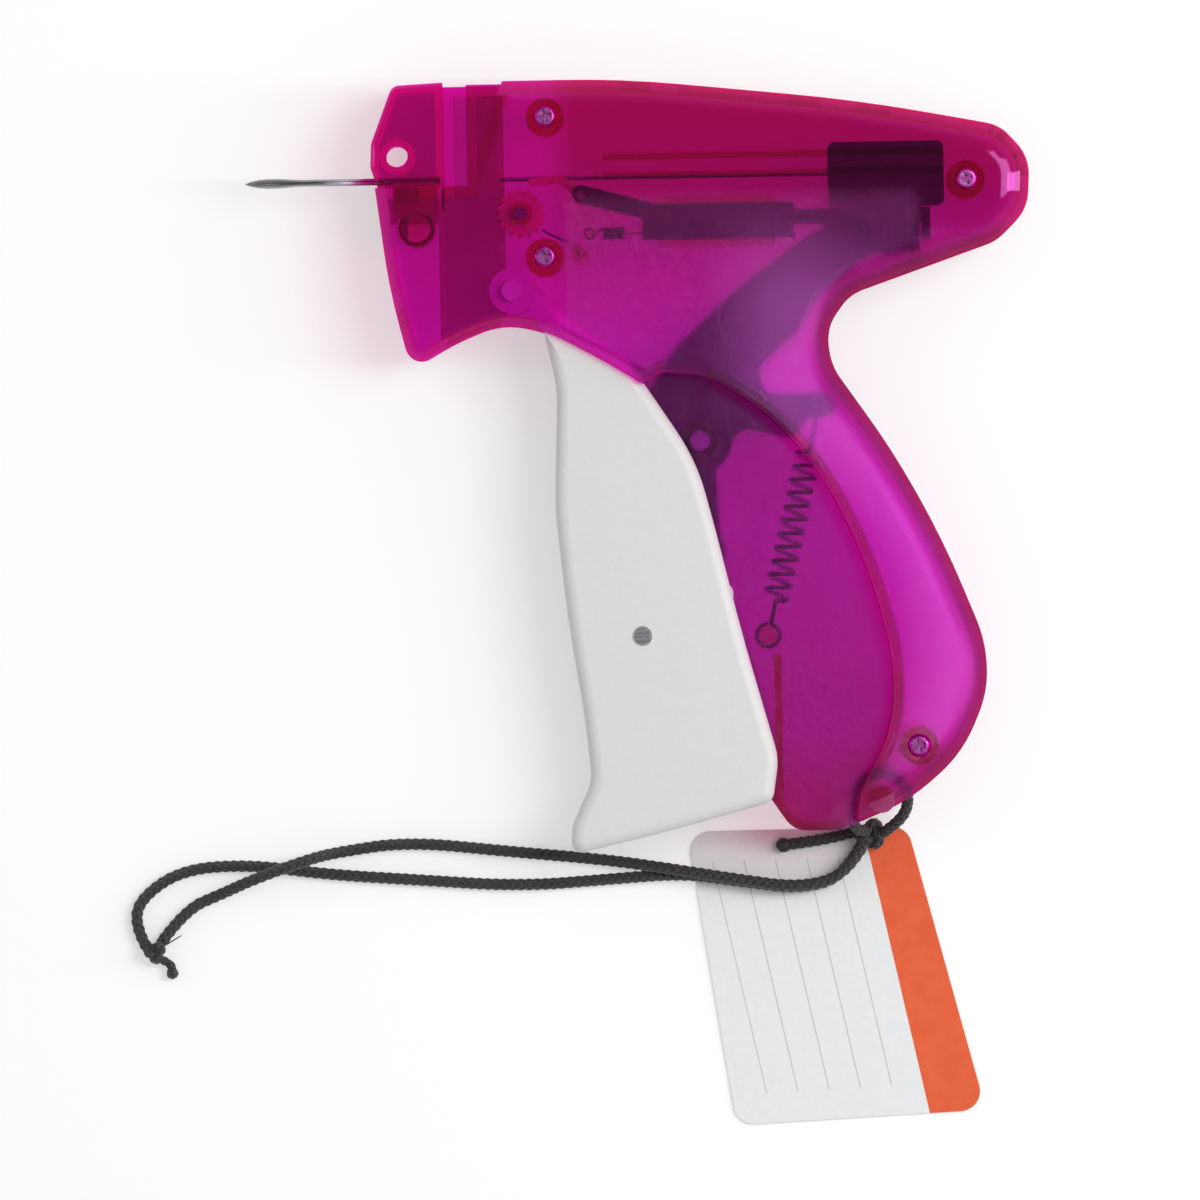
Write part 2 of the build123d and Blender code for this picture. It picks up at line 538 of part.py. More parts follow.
def make_needle():
    """Hollow slotted needle with a slanted point."""
    length = NEEDLE_BACK - NEEDLE_TIP
    middle = Pos((NEEDLE_BACK + NEEDLE_TIP) / 2, 0, 0) * Rot(0, 90, 0)
    solid = middle * Cylinder(NEEDLE_RADIUS, length)
    solid -= middle * Cylinder(NEEDLE_BORE, length + 2)
    solid -= block(NEEDLE_TIP - 1, NEEDLE_BACK + 1, -NEEDLE_SLOT / 2, NEEDLE_SLOT / 2, 0, NEEDLE_RADIUS + 1)
    bevel = Pos(NEEDLE_TIP, -NEEDLE_RADIUS, 0) * Rot(0, 0, NEEDLE_BEVEL) * Pos(0, 5, 0) * Box(30, 10, 4)
    return solid - bevel


def make_needle_hub():
    """Foot of the needle that stands in the nose, hollowed below for the lock."""
    back = HUB_FRONT + HUB_LENGTH
    solid = block(HUB_FRONT, back, HUB_FOOT, HUB_TOP, -HUB_HALF, HUB_HALF)
    edges = solid.edges().filter_by(Axis.Z).group_by(Axis.Y)[0]
    solid = fillet(edges, radius=0.8)
    solid -= Pos(8, 0, 0) * Rot(0, 90, 0) * Cylinder(NEEDLE_RADIUS + SEAT_FIT, 20)
    return solid - post(LOCK_PLACE, LOCK_RADIUS + LOCK_FIT, -5, 5)


def make_needle_lock():
    """Cam with a flat that lets the needle go when it is turned, and a slotted head."""
    base = -(LOCK_HEAD_FACE - LOCK_HEAD_HEIGHT)
    solid = post(LOCK_PLACE, LOCK_RADIUS, base, LOCK_END)
    x, y = LOCK_PLACE
    solid -= block(x - 5, x - LOCK_FLAT, y - 5, y + 5, -2.4, LOCK_END + 1)
    head = post(LOCK_PLACE, LOCK_HEAD_RADIUS, -LOCK_HEAD_FACE, base)
    head -= block(x - 5, x + 5, y - LOCK_SLOT / 2, y + LOCK_SLOT / 2, -LOCK_HEAD_FACE - 1, base - 0.5)
    return solid + head


def make_knife_blade():
    """Blade beside the mouth of the needle that parts each tag from the clip."""
    back = CHANNEL_FRONT
    solid = block(back - KNIFE_THICKNESS, back, KNIFE_FOOT, KNIFE_TOP, -KNIFE_HALF, KNIFE_HALF)
    edges = solid.edges().filter_by(Axis.Z).group_by(Axis.Y)[-1].sort_by(Axis.X)
    return chamfer(edges[0], length=0.7, length2=0.35)


def make_housing_screws():
    """Four housing screws with crossed recesses."""
    seat = screw_seat_height()
    solids = []
    for place in SCREW_PLACES:
        screw = post(place, SCREW_RADIUS, seat - SCREW_LENGTH, seat)
        head = post(place, SCREW_HEAD_RADIUS, seat, seat + SCREW_HEAD_HEIGHT)
        head = fillet(head.edges().group_by(Axis.Z)[-1], radius=0.7)
        recess_low = seat + SCREW_HEAD_HEIGHT - 1.0
        for angle in (20, 110):
            head -= Pos(place[0], place[1], recess_low + 1) * Rot(0, 0, angle) * Box(2.6, 0.6, 2)
        solids.append(screw + head)
    return Compound(solids)


# ---- trigger and linkage ------------------------------------------------------------------------------
def make_trigger():
    """Trigger moulded as a channel that is open to the rear, with ears and stub axles at its top."""
    solid = slab(outline(TRIGGER_FRONT + TRIGGER_REAR), -TRIGGER_HALF, TRIGGER_HALF)
    solid += post(TRIGGER_PIVOT, TRIGGER_EAR, -TRIGGER_HALF, TRIGGER_HALF)
    edges = [
        edge for edge in solid.edges()
        if abs(edge.center().Z) > TRIGGER_HALF - 0.1
        and edge.center().Y < -34
        and distance_to_run(edge.center(), TRIGGER_FRONT) < 1
    ]
    solid = fillet(edges, radius=TRIGGER_ROUND)
    inside = [(x + TRIGGER_WEB, y, radius) for x, y, radius in TRIGGER_FRONT[1:-1]]
    inside += [(41.0, -150, 0), (120, -150, 0), (120, -10, 0), (15, -10, 0), (15, -29.4, 0)]
    inside.append((33.8, -30.2, 0))
    solid -= slab(outline(inside), CHEEK - TRIGGER_HALF, TRIGGER_HALF - CHEEK)
    for side in (-1, 1):
        low, high = sorted((side * (TRIGGER_HALF - CHEEK), side * TRUNNION_REACH))
        solid += post(TRIGGER_PIVOT, TRUNNION_RADIUS, low, high)
    return solid - post(CROSS_PIN, CROSS_PIN_RADIUS + SEAT_FIT, -20, 20)


def make_cross_pin():
    """Steel pin across the trigger."""
    pin = post(CROSS_PIN, CROSS_PIN_RADIUS, -TRIGGER_HALF - 0.1, TRIGGER_HALF + 0.1)
    return chamfer(pin.edges().group_by(Axis.Z)[0] + pin.edges().group_by(Axis.Z)[-1], length=0.25)


def make_drive_link():
    """Link from the trigger's pin up to the lever, with a loose upper eye and a sleeve on the pin."""
    eye = (LINK_PIN[0] + LINK_EYE_SHIFT[0], LINK_PIN[1] + LINK_EYE_SHIFT[1])
    solid = bar(CROSS_PIN, eye, LINK_WIDTH, LINK_LOW, LINK_HIGH)
    solid += post(CROSS_PIN, LINK_SLEEVE_RADIUS, -LINK_SLEEVE_HALF, LINK_SLEEVE_HALF)
    solid -= post(CROSS_PIN, CROSS_PIN_RADIUS + RUNNING_FIT, -10, 10)
    return solid - post(eye, LINK_PIN_RADIUS + LINK_EYE_PLAY, -10, 10)


def make_lever():
    """Lever: long arm up to the slide, short arm for the return spring, thin lower arm to the link."""
    solid = slab(outline(LEVER_SIDE), -LEVER_HALF, LEVER_HALF)
    solid += bar(LEVER_PIVOT, LINK_PIN, LOWER_ARM_WIDTH, LOWER_ARM_LOW, LOWER_ARM_HIGH)
    solid -= post(LEVER_PIVOT, LEVER_PIN_RADIUS + RUNNING_FIT, -10, 10)
    solid -= post(DRIVE_PIN, DRIVE_PIN_RADIUS + SEAT_FIT, -10, 10)
    solid -= post(LINK_PIN, LINK_PIN_RADIUS + SEAT_FIT, -10, 10)
    stud = post(SPRING_STUD, SPRING_STUD_RADIUS, LEVER_HALF, LEVER_HALF + 1.4)
    stud += post(SPRING_STUD, SPRING_STUD_RADIUS + 0.5, LEVER_HALF + 1.4, LEVER_HALF + 2.0)
    return solid + stud


def make_lever_pivot_pin():
    """Pin on which the lever turns, held in both shells."""
    reach = TONGUE_HALF - 0.8
    return post(LEVER_PIVOT, LEVER_PIN_RADIUS, -reach, reach)


def make_drive_pin():
    """Pin at the top of the lever that runs in the slide's slots."""
    return post(DRIVE_PIN, DRIVE_PIN_RADIUS, -DRIVE_PIN_HALF, DRIVE_PIN_HALF)


def make_link_pin():
    """Pin at the foot of the lever's lower arm."""
    return post(LINK_PIN, LINK_PIN_RADIUS, LINK_LOW, LOWER_ARM_HIGH)


# ---- slide --------------------------------------------------------------------------------------------
def make_slide():
    """Slide that pushes the rod: a block split for the lever, with slotted cheeks and guide ridges."""
    back = SLIDE_FRONT + SLIDE_LENGTH
    yoke_front = YOKE_MIDDLE - YOKE_WIDTH / 2
    solid = block(SLIDE_FRONT, back, SLIDE_FOOT, SLIDE_TOP, -SLIDE_HALF, SLIDE_HALF)
    solid = fillet(solid.edges().filter_by(Axis.Z), radius=1.2)
    solid += block(yoke_front, yoke_front + YOKE_WIDTH, YOKE_FOOT, 0, -SLIDE_HALF, SLIDE_HALF)
    ridges = block(SLIDE_FRONT, back, RIDGE_LOW, RIDGE_HIGH, -SLIDE_HALF - RIDGE_OUT, SLIDE_HALF + RIDGE_OUT)
    solid += ridges
    solid -= block(SLIDE_FRONT + SLIDE_NOSE, back - SLIDE_END, -30, 30, -SLIDE_SLOT_HALF, SLIDE_SLOT_HALF)
    end = back - SLIDE_END
    solid -= block(SLIDE_FRONT - 1, end, -30, SLIDE_NOSE_FOOT, -SLIDE_SLOT_HALF, SLIDE_SLOT_HALF)
    slot_front = YOKE_MIDDLE - SLOT_HALF_WIDTH
    slot_back = slot_front + 2 * SLOT_HALF_WIDTH
    solid -= block(slot_front, slot_back, YOKE_FOOT - 1, SLOT_TOP, -SLOT_REACH, SLOT_REACH)
    rod_hole = Cylinder(ROD_RADIUS + SEAT_FIT, 2 * SLIDE_NOSE + 2)
    return solid - Pos(SLIDE_FRONT, 0, 0) * Rot(0, 90, 0) * rod_hole


def make_push_rod():
    """Thin rod that pushes the tag through the needle."""
    back = SLIDE_FRONT + SLIDE_NOSE
    rod = Pos((ROD_TIP + back) / 2, 0, 0) * Rot(0, 90, 0) * Cylinder(ROD_RADIUS, back - ROD_TIP)
    return rod


# ---- feed ---------------------------------------------------------------------------------------------
def wheel_disc(low, high, lean):
    """Toothed disc of the feed wheel; the lean makes its teeth point one way."""
    pitch = 360 / WHEEL_TEETH
    corners = []
    for tooth in range(WHEEL_TEETH):
        for radius, share in ((WHEEL_RADIUS, 0.0), (WHEEL_ROOT, lean)):
            angle = radians((tooth + share) * pitch)
            corners.append((WHEEL_PLACE[0] + radius * cos(angle), WHEEL_PLACE[1] + radius * sin(angle), 0))
    return slab(outline(corners), low, high)


def make_feed_wheel():
    """Star wheel that moves the clip down by one tag, with a ratchet wheel beside it."""
    solid = wheel_disc(-WHEEL_HALF, WHEEL_HALF, 0.5) + wheel_disc(RATCHET_LOW, RATCHET_HIGH, 0.12)
    solid += post(WHEEL_PLACE, WHEEL_HUB, -WHEEL_HALF, RATCHET_HIGH)
    return solid - post(WHEEL_PLACE, AXLE_RADIUS + RUNNING_FIT, -10, 10)


def make_wheel_axle():
    """Axle of the feed wheel."""
    return post(WHEEL_PLACE, AXLE_RADIUS, -AXLE_HALF, AXLE_HALF)


def make_feed_bar():
    """Bar beside the slide that the returning slide pulls back, and that carries the pawl."""
    yoke_back = YOKE_MIDDLE + YOKE_WIDTH / 2
    lug_front = yoke_back + LUG_GAP
    low, high = FEED_BAR_LOW, FEED_BAR_HIGH
    solid = block(FEED_BAR_FRONT, FEED_BAR_FRONT + FEED_BAR_LENGTH, FEED_BAR_FOOT, FEED_BAR_TOP, low, high)
    solid += block(FEED_BAR_FRONT + 10, lug_front + LUG_THICKNESS, FEED_TAIL_FOOT, FEED_TAIL_TOP, low, high)
    solid += block(lug_front, lug_front + LUG_THICKNESS, LUG_FOOT, FEED_TAIL_TOP, LUG_LOW, high)
    solid += bar(PAWL_PIVOT, (FEED_BAR_FRONT + 3, FEED_TAIL_TOP - 0.3), FEED_ARM_WIDTH, low, high)
    solid += post(FEED_STUD, FEED_PEG_RADIUS, high, FEED_SPRING_LEVEL + 0.6)
    return solid - post(PAWL_PIVOT, PAWL_PIN_RADIUS + SEAT_FIT, low - 1, high + 1)


def make_feed_pawl():
    """Pawl over the ratchet wheel."""
    solid = bar(PAWL_PIVOT, PAWL_KNEE, PAWL_WIDTH, RATCHET_LOW, RATCHET_HIGH)
    solid += bar(PAWL_KNEE, PAWL_TIP, PAWL_WIDTH, RATCHET_LOW, RATCHET_HIGH)
    solid += post(PAWL_PIVOT, PAWL_EYE, RATCHET_LOW, RATCHET_HIGH)
    return solid - post(PAWL_PIVOT, PAWL_PIN_RADIUS + RUNNING_FIT, RATCHET_LOW - 1, RATCHET_HIGH + 1)


def make_pawl_pin():
    """Pin that carries the pawl on the feed bar."""
    return post(PAWL_PIVOT, PAWL_PIN_RADIUS, RATCHET_LOW, FEED_BAR_HIGH)


def make_detent_spring():
    """Leaf that keeps the ratchet wheel from turning back by itself."""
    low, high = RATCHET_LOW + 0.1, RATCHET_HIGH - 0.1
    solid = bar(DETENT_POST, DETENT_KNEE, DETENT_THICKNESS, low, high)
    return solid + bar(DETENT_KNEE, DETENT_TIP, DETENT_THICKNESS, low, high)


# ---- springs ------------------------------------------------------------------------------------------
def coil_spring(start, end, level, hook, foot, coil, turns, wire, rings):
    """Tension spring in a plane of constant Z between two pegs, with a ring at each end."""
    length = hypot(end[0] - start[0], end[1] - start[1])
    along = Vector((end[0] - start[0]) / length, (end[1] - start[1]) / length, 0)
    base = Vector(start[0], start[1], level)
    frame = Plane(origin=base, x_dir=(0, 0, 1), z_dir=along)
    body = length - hook - foot
    helix = Pos(0, 0, hook) * Helix(pitch=body / turns, height=body, radius=coil)
    first = helix @ 0
    last = helix @ 1
    ring_level, ring_a, ring_b = rings
    section = Plane(origin=first, z_dir=helix % 0) * Circle(wire)
    solid = sweep(section, path=helix, is_frenet=True)
    for tip, place, ring in ((first, 0, ring_a), (last, length, ring_b)):
        side = 1 if place == 0 else -1
        meet = Vector(ring_level - level, 0, place + side * ring)
        run = tip - meet
        align = (Align.CENTER, Align.CENTER, Align.MIN)
        solid += Sphere(1.08 * wire).moved(Location(tip))
        solid += Plane(origin=meet, z_dir=run) * Cylinder(wire, run.length, align=align)
    solid = frame.location * solid
    for place, ring in ((start, ring_a), (end, ring_b)):
        solid += Pos(place[0], place[1], ring_level) * Torus(ring, wire)
    return solid


def make_return_spring():
    """Tension spring from the lever's short arm to the peg in the grip."""
    gap = RETURN_WIRE + 0.1
    rings = (LEVER_HALF + gap, SPRING_STUD_RADIUS + gap, RETURN_PEG_RADIUS + gap)
    return coil_spring(
        SPRING_STUD, RETURN_PEG, RETURN_LEVEL, RETURN_START, RETURN_STOP, RETURN_COIL, RETURN_TURNS,
        RETURN_WIRE, rings,
    )


def make_feed_spring():
    """Small tension spring that draws the feed bar forward."""
    ring = FEED_PEG_RADIUS + FEED_WIRE + 0.06
    return coil_spring(
        FEED_PEG, FEED_STUD, FEED_SPRING_LEVEL, 2.6, 2.6, FEED_COIL, FEED_TURNS, FEED_WIRE,
        (FEED_SPRING_LEVEL, ring, ring),
    )


# ---- strap and card -----------------------------------------------------------------------------------
def cord(route, name=""):
    """Round cord: straight runs joined by arcs as wide as the runs leave room for."""
    points = [Vector(*p) for p in route]
    radii = []
    for before, here, after in zip(points, points[1:], points[2:]):
        back, ahead = before - here, after - here
        half_turn = radians(180 - back.get_angle(ahead)) / 2
        radii.append(0.45 * min(back.length, ahead.length) / tan(half_turn))
    path = FilletPolyline(*points, radius=radii)
    section = Plane(origin=path @ 0, z_dir=path % 0) * Circle(CORD_RADIUS)
    tube = sweep(section, path=path)
    ratio = tube.volume / (pi * CORD_RADIUS**2 * path.length)
    if name:
        bends = [round(r, 1) for r in radii]
        print(name, "length", round(path.length, 1), "radii", bends, "volume", round(ratio, 3))
    return tube


def make_hitch_knot():
    """Knot of the strap under the grip, hollow where the cords run into it."""
    knot = Pos(*HITCH_KNOT) * Sphere(HITCH_KNOT_RADIUS)
    for route in (RING, STRAND_A, STRAND_B, STUB):
        knot -= cord(route)
    return knot


def make_end_knot():
    """Knot that joins the strap's strands at the far end."""
    knot = Pos(*END_KNOT) * Sphere(END_KNOT_RADIUS)
    return knot - cord(STRAND_A) - cord(STRAND_B)


def make_hang_card():
    """Card with round corners that lies under the strap."""
    corners = [(x, y, CARD_ROUND) for x, y in CARD_CORNERS]
    return slab(outline(corners), TABLE, TABLE + CARD_THICKNESS)


# ---- all parts ----------------------------------------------------------------------------------------
PARTS = {
    "left_shell": make_left_shell,
    "right_shell": make_right_shell,
    "nose_cap": make_nose_cap,
    "needle": make_needle,
    "needle_hub": make_needle_hub,
    "needle_lock": make_needle_lock,
    "knife_blade": make_knife_blade,
    "housing_screws": make_housing_screws,
    "trigger": make_trigger,
    "trigger_cross_pin": make_cross_pin,
    "drive_link": make_drive_link,
    "lever": make_lever,
    "lever_pivot_pin": make_lever_pivot_pin,
    "lever_drive_pin": make_drive_pin,
    "link_pin": make_link_pin,
    "slide": make_slide,
    "push_rod": make_push_rod,
    "feed_wheel": make_feed_wheel,
    "feed_wheel_axle": make_wheel_axle,
    "feed_bar": make_feed_bar,
    "feed_pawl": make_feed_pawl,
    "feed_pawl_pin": make_pawl_pin,
    "detent_spring": make_detent_spring,
    "return_spring": make_return_spring,
    "feed_spring": make_feed_spring,
    "strap_ring": lambda: cord(RING, "strap_ring"),
    "strap_strand_a": lambda: cord(STRAND_A, "strap_strand_a"),
    "strap_strand_b": lambda: cord(STRAND_B, "strap_strand_b"),
    "strap_stub": lambda: cord(STUB, "strap_stub"),
    "hitch_knot": make_hitch_knot,
    "end_knot": make_end_knot,
    "hang_card": make_hang_card,
}
STRAP_AND_CARD = [
    "strap_ring", "strap_strand_a", "strap_strand_b", "strap_stub", "hitch_knot", "end_knot", "hang_card",
]


def as_one_shape(shape):
    """Plain solid or compound without empty wrappers."""
    solids = shape.solids()
    return solids[0] if len(solids) == 1 else Compound(list(solids))


shapes = {name: as_one_shape(make()) for name, make in PARTS.items()}
box = Compound([shape for name, shape in shapes.items() if name not in STRAP_AND_CARD]).bounding_box()
ORIGIN = ((box.min.X + box.max.X) / 2, (box.min.Y + box.max.Y) / 2, TABLE)
print("origin", ORIGIN)
os.makedirs("parts", exist_ok=True)
for name, shape in shapes.items():
    placed = Pos(-ORIGIN[0], -ORIGIN[1], -ORIGIN[2]) * shape
    export_step(placed, f"parts/{name}.step")
    print(name, len(shape.solids()), round(shape.volume, 1))
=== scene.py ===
"""Garment tag attacher: a hand tool that shoots plastic tag fasteners through cloth.

It is moulded from clear magenta plastic in two shells, with a white trigger, black working parts seen
through the plastic, a steel needle, and a braided wrist strap that holds a hang card.
"""
import math

import bmesh
import bpy
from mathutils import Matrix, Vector


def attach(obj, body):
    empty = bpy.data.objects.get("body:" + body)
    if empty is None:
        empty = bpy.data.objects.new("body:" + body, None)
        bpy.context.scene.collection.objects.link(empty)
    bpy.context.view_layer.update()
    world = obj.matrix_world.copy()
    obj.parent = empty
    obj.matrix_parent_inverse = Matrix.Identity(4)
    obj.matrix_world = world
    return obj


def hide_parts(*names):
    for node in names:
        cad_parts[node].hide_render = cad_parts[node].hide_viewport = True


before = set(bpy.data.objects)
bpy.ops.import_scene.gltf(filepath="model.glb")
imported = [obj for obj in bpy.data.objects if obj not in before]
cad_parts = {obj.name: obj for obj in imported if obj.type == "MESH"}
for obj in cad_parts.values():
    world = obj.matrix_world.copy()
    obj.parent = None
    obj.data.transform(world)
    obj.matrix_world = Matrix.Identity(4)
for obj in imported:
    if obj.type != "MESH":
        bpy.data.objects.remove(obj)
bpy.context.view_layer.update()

# ---- the table, the camera and the lamps --------------------------------------------------------------
# The tool lies on its right side on a white table top. The camera looks straight down on it through a long
# lens; a wide soft lamp hangs to the right of it, and two strips stand at its sides.
VIEW_CENTRE = (-0.00889, -0.02679)
VIEW_WIDTH = 0.240          # seen at the tool's middle plane
VIEW_TURN = math.radians(-1.08)
CAMERA_HEIGHT = 3.00
HALF_THICKNESS = 0.0125
SENSOR = 36.0               # width in millimetres
NEAREST_SEEN = 0.05
CLEAR_LAYERS = 32           # walls of clear plastic that a ray may pass through
ROOM_LEVEL = 0.45
BACKDROP_LEVELS = ((0.30, 1.0), (0.85, 0.22))   # how bright it looks, from the walls to overhead
TABLE_REACH = 3.0
TABLE_DROP = 0.0002         # below the lowest part of the tool
TABLE_GREY = (0.62, 0.62, 0.62, 1.0)
TABLE_GLOW = 0.44
WHITE = (1.0, 1.0, 1.0, 1.0)
LAMP_AIM = Vector((0.0, 0.0, 0.01))
LAMPS = (                   # name, place, width, height, watts
    ("right_softbox", (0.56, 0.20, 0.98), 0.44, 0.60, 5.3),
    ("right_strip", (0.75, 0.05, 0.40), 0.10, 0.80, 2.4),
    ("left_strip", (-0.80, 0.10, 0.45), 0.12, 0.70, 0.8),
)

camera_data = bpy.data.cameras.new("camera")
camera_data.sensor_width = SENSOR
camera_data.lens = SENSOR * (CAMERA_HEIGHT - HALF_THICKNESS) / VIEW_WIDTH
camera_data.clip_start = NEAREST_SEEN
camera = bpy.data.objects.new("camera", camera_data)
camera.location = (VIEW_CENTRE[0], VIEW_CENTRE[1], CAMERA_HEIGHT)
camera.rotation_euler = (0.0, 0.0, VIEW_TURN)
bpy.context.collection.objects.link(camera)
bpy.context.scene.camera = camera
bpy.context.scene.view_settings.view_transform = "Standard"
bpy.context.scene.cycles.transparent_max_bounces = CLEAR_LAYERS


def node_tree(owner):
    """Empty node tree of a material or world."""
    owner.use_nodes = True
    owner.node_tree.nodes.clear()
    return owner.node_tree


def add(tree, kind, values=None, **settings):
    """New node of a kind, with its socket values and settings."""
    node = tree.nodes.new("ShaderNode" + kind)
    for key, value in settings.items():
        setattr(node, key, value)
    for key, value in (values or {}).items():
        node.inputs[key].default_value = value
    return node


def join(tree, source, target):
    """Link from an output to an input."""
    tree.links.new(source, target)


def seen_directly(tree):
    """1 for rays from the camera, from gloss and through clear plastic, otherwise 0."""
    path = add(tree, "LightPath")
    first = add(tree, "Math", operation="MAXIMUM")
    join(tree, path.outputs["Is Camera Ray"], first.inputs[0])
    join(tree, path.outputs["Is Glossy Ray"], first.inputs[1])
    both = add(tree, "Math", operation="MAXIMUM")
    join(tree, first.outputs[0], both.inputs[0])
    join(tree, path.outputs["Is Transmission Ray"], both.inputs[1])
    return both.outputs[0]


world = bpy.data.worlds.new("studio")
bpy.context.scene.world = world
tree = node_tree(world)
room_light = add(tree, "Background", {"Color": WHITE, "Strength": ROOM_LEVEL})
backdrop_light = add(tree, "Background", {"Strength": 1.0})
direction = add(tree, "TexCoord")
height = add(tree, "SeparateXYZ")
join(tree, direction.outputs["Generated"], height.inputs[0])
dim_overhead = add(tree, "ValToRGB")
for element, (place, level) in zip(dim_overhead.color_ramp.elements, BACKDROP_LEVELS):
    element.position = place
    element.color = (level, level, level, 1.0)
join(tree, height.outputs["Z"], dim_overhead.inputs["Fac"])
join(tree, dim_overhead.outputs["Color"], backdrop_light.inputs["Color"])
room_mix = add(tree, "MixShader")
join(tree, seen_directly(tree), room_mix.inputs[0])
join(tree, room_light.outputs[0], room_mix.inputs[1])
join(tree, backdrop_light.outputs[0], room_mix.inputs[2])
join(tree, room_mix.outputs[0], add(tree, "OutputWorld").inputs["Surface"])

table_mesh = bpy.data.meshes.new("table_top")
shape = bmesh.new()
bmesh.ops.create_grid(shape, x_segments=2, y_segments=2, size=TABLE_REACH)
shape.to_mesh(table_mesh)
shape.free()
table_top = bpy.data.objects.new("table_top", table_mesh)
table_top.location = (0.0, 0.0, -TABLE_DROP)
bpy.context.collection.objects.link(table_top)
white_paint = bpy.data.materials.new("table_white")
tree = node_tree(white_paint)
matt = add(tree, "BsdfDiffuse", {"Color": TABLE_GREY})
glow = add(tree, "Emission", {"Color": WHITE, "Strength": TABLE_GLOW})
glow_or_not = add(tree, "MixShader")
no_glow = add(tree, "Emission", {"Strength": 0.0})
join(tree, seen_directly(tree), glow_or_not.inputs[0])
join(tree, no_glow.outputs[0], glow_or_not.inputs[1])
join(tree, glow.outputs[0], glow_or_not.inputs[2])
top_sum = add(tree, "AddShader")
join(tree, matt.outputs[0], top_sum.inputs[0])
join(tree, glow_or_not.outputs[0], top_sum.inputs[1])
join(tree, top_sum.outputs[0], add(tree, "OutputMaterial").inputs["Surface"])
table_mesh.materials.append(white_paint)

for lamp_name, place, width, height, watts in LAMPS:
    lamp_data = bpy.data.lights.new(lamp_name, "AREA")
    lamp_data.shape = "RECTANGLE"
    lamp_data.size = width
    lamp_data.size_y = height
    lamp_data.energy = watts
    lamp = bpy.data.objects.new(lamp_name, lamp_data)
    lamp.location = place
    lamp.rotation_euler = (LAMP_AIM - Vector(place)).to_track_quat("-Z", "Y").to_euler()
    bpy.context.collection.objects.link(lamp)

# ---- the wrist strap ----------------------------------------------------------------------------------
# Round braided polyester cord, 2.5 mm thick. One length is looped round the post in the foot of the grip,
# hitched under it, and led out double to a knot. It lies on the table, and crosses the hang card.
BRAID_RADIUS = 0.00083      # to the middle of the yarns
BRAID_WAVE = 0.00013        # that a yarn rises and dips as it crosses the others
BRAID_PITCH = 0.0066
YARN_HALF_WIDTH = 0.00052
YARN_HALF_DEPTH = 0.00027
YARN_FACES = 6
CARRIERS = 4                # yarns that run each way round
STEP = 0.00028
CORE_RADIUS = 0.00072
CORE_FACES = 8
LINE_POINTS = 24            # between two points of a route
TUBE_END = 0.55             # share of its thickness that a tube keeps at its ends
FINE_GRAIN = 6              # times finer than the coarse grain of a finish
CORD_ROUTES = {
    "ring": [
        (0.04389, -0.07406, 0.0046), (0.04099, -0.07426, 0.0081), (0.04119, -0.06956, 0.0099),
        (0.04229, -0.06396, 0.0107), (0.04689, -0.06196, 0.0111), (0.05129, -0.06396, 0.0107),
        (0.05229, -0.06876, 0.0097), (0.05009, -0.07256, 0.0079), (0.04659, -0.07476, 0.0039),
    ],
    "strand_a": [
        (0.04309, -0.07656, 0.0046), (0.03969, -0.08276, 0.00445), (0.03029, -0.08526, 0.00445),
        (0.01729, -0.08326, 0.00445), (0.00429, -0.08096, 0.00435), (-0.00821, -0.07896, 0.0013),
        (-0.02771, -0.07696, 0.0013), (-0.04821, -0.07456, 0.0013), (-0.06221, -0.07636, 0.0013),
        (-0.06831, -0.07766, 0.0068), (-0.07911, -0.08136, 0.0068), (-0.08571, -0.08426, 0.0013),
        (-0.09331, -0.08736, 0.0013), (-0.09841, -0.09416, 0.0014),
    ],
    "strand_b": [
        (0.04289, -0.07636, 0.0019), (0.03909, -0.08336, 0.00185), (0.02989, -0.08546, 0.00185),
        (0.01829, -0.08376, 0.00185), (0.00689, -0.08196, 0.00185), (-0.00671, -0.08276, 0.0013),
        (-0.02571, -0.08396, 0.0013), (-0.04671, -0.08226, 0.0013), (-0.06471, -0.08086, 0.0013),
        (-0.08011, -0.07856, 0.0013), (-0.09371, -0.07926, 0.0013), (-0.10231, -0.08496, 0.0013),
        (-0.10351, -0.09036, 0.0013), (-0.10121, -0.09476, 0.0014),
    ],
    "stub": [(0.04189, -0.07396, 0.0025), (0.03629, -0.07576, 0.00185), (0.02739, -0.07656, 0.0018)],
}


def grained(tree, scale, detail=3.0, roughness=0.6, stretch=None):
    """Noise over the piece's own place, finer for a larger scale; stretch draws it out along axes."""
    place = add(tree, "TexCoord")
    noise = add(tree, "TexNoise", {"Scale": scale, "Detail": detail, "Roughness": roughness})
    if stretch is None:
        join(tree, place.outputs["Object"], noise.inputs["Vector"])
    else:
        mapping = add(tree, "Mapping", {"Scale": stretch})
        join(tree, place.outputs["Object"], mapping.inputs["Vector"])
        join(tree, mapping.outputs[0], noise.inputs["Vector"])
    return noise.outputs["Fac"]


def ramp(tree, source, stops):
    """Colours or greys between (place, colour) stops."""
    node = add(tree, "ValToRGB")
    while len(node.color_ramp.elements) < len(stops):
        node.color_ramp.elements.new(0.5)
    for element, (place, colour) in zip(node.color_ramp.elements, stops):
        element.position = place
        element.color = colour if len(colour) == 4 else (*colour, 1.0)
    join(tree, source, node.inputs["Fac"])
    return node.outputs["Color"]


def grey(level):
    """Grey of a level, or a plain number where a socket takes one."""
    return (level, level, level)


def bump(tree, height, depth, strength=1.0):
    """Normal that follows a height; depth is in metres."""
    node = add(tree, "Bump", {"Strength": strength, "Distance": depth})
    join(tree, height, node.inputs["Height"])
    return node.outputs["Normal"]


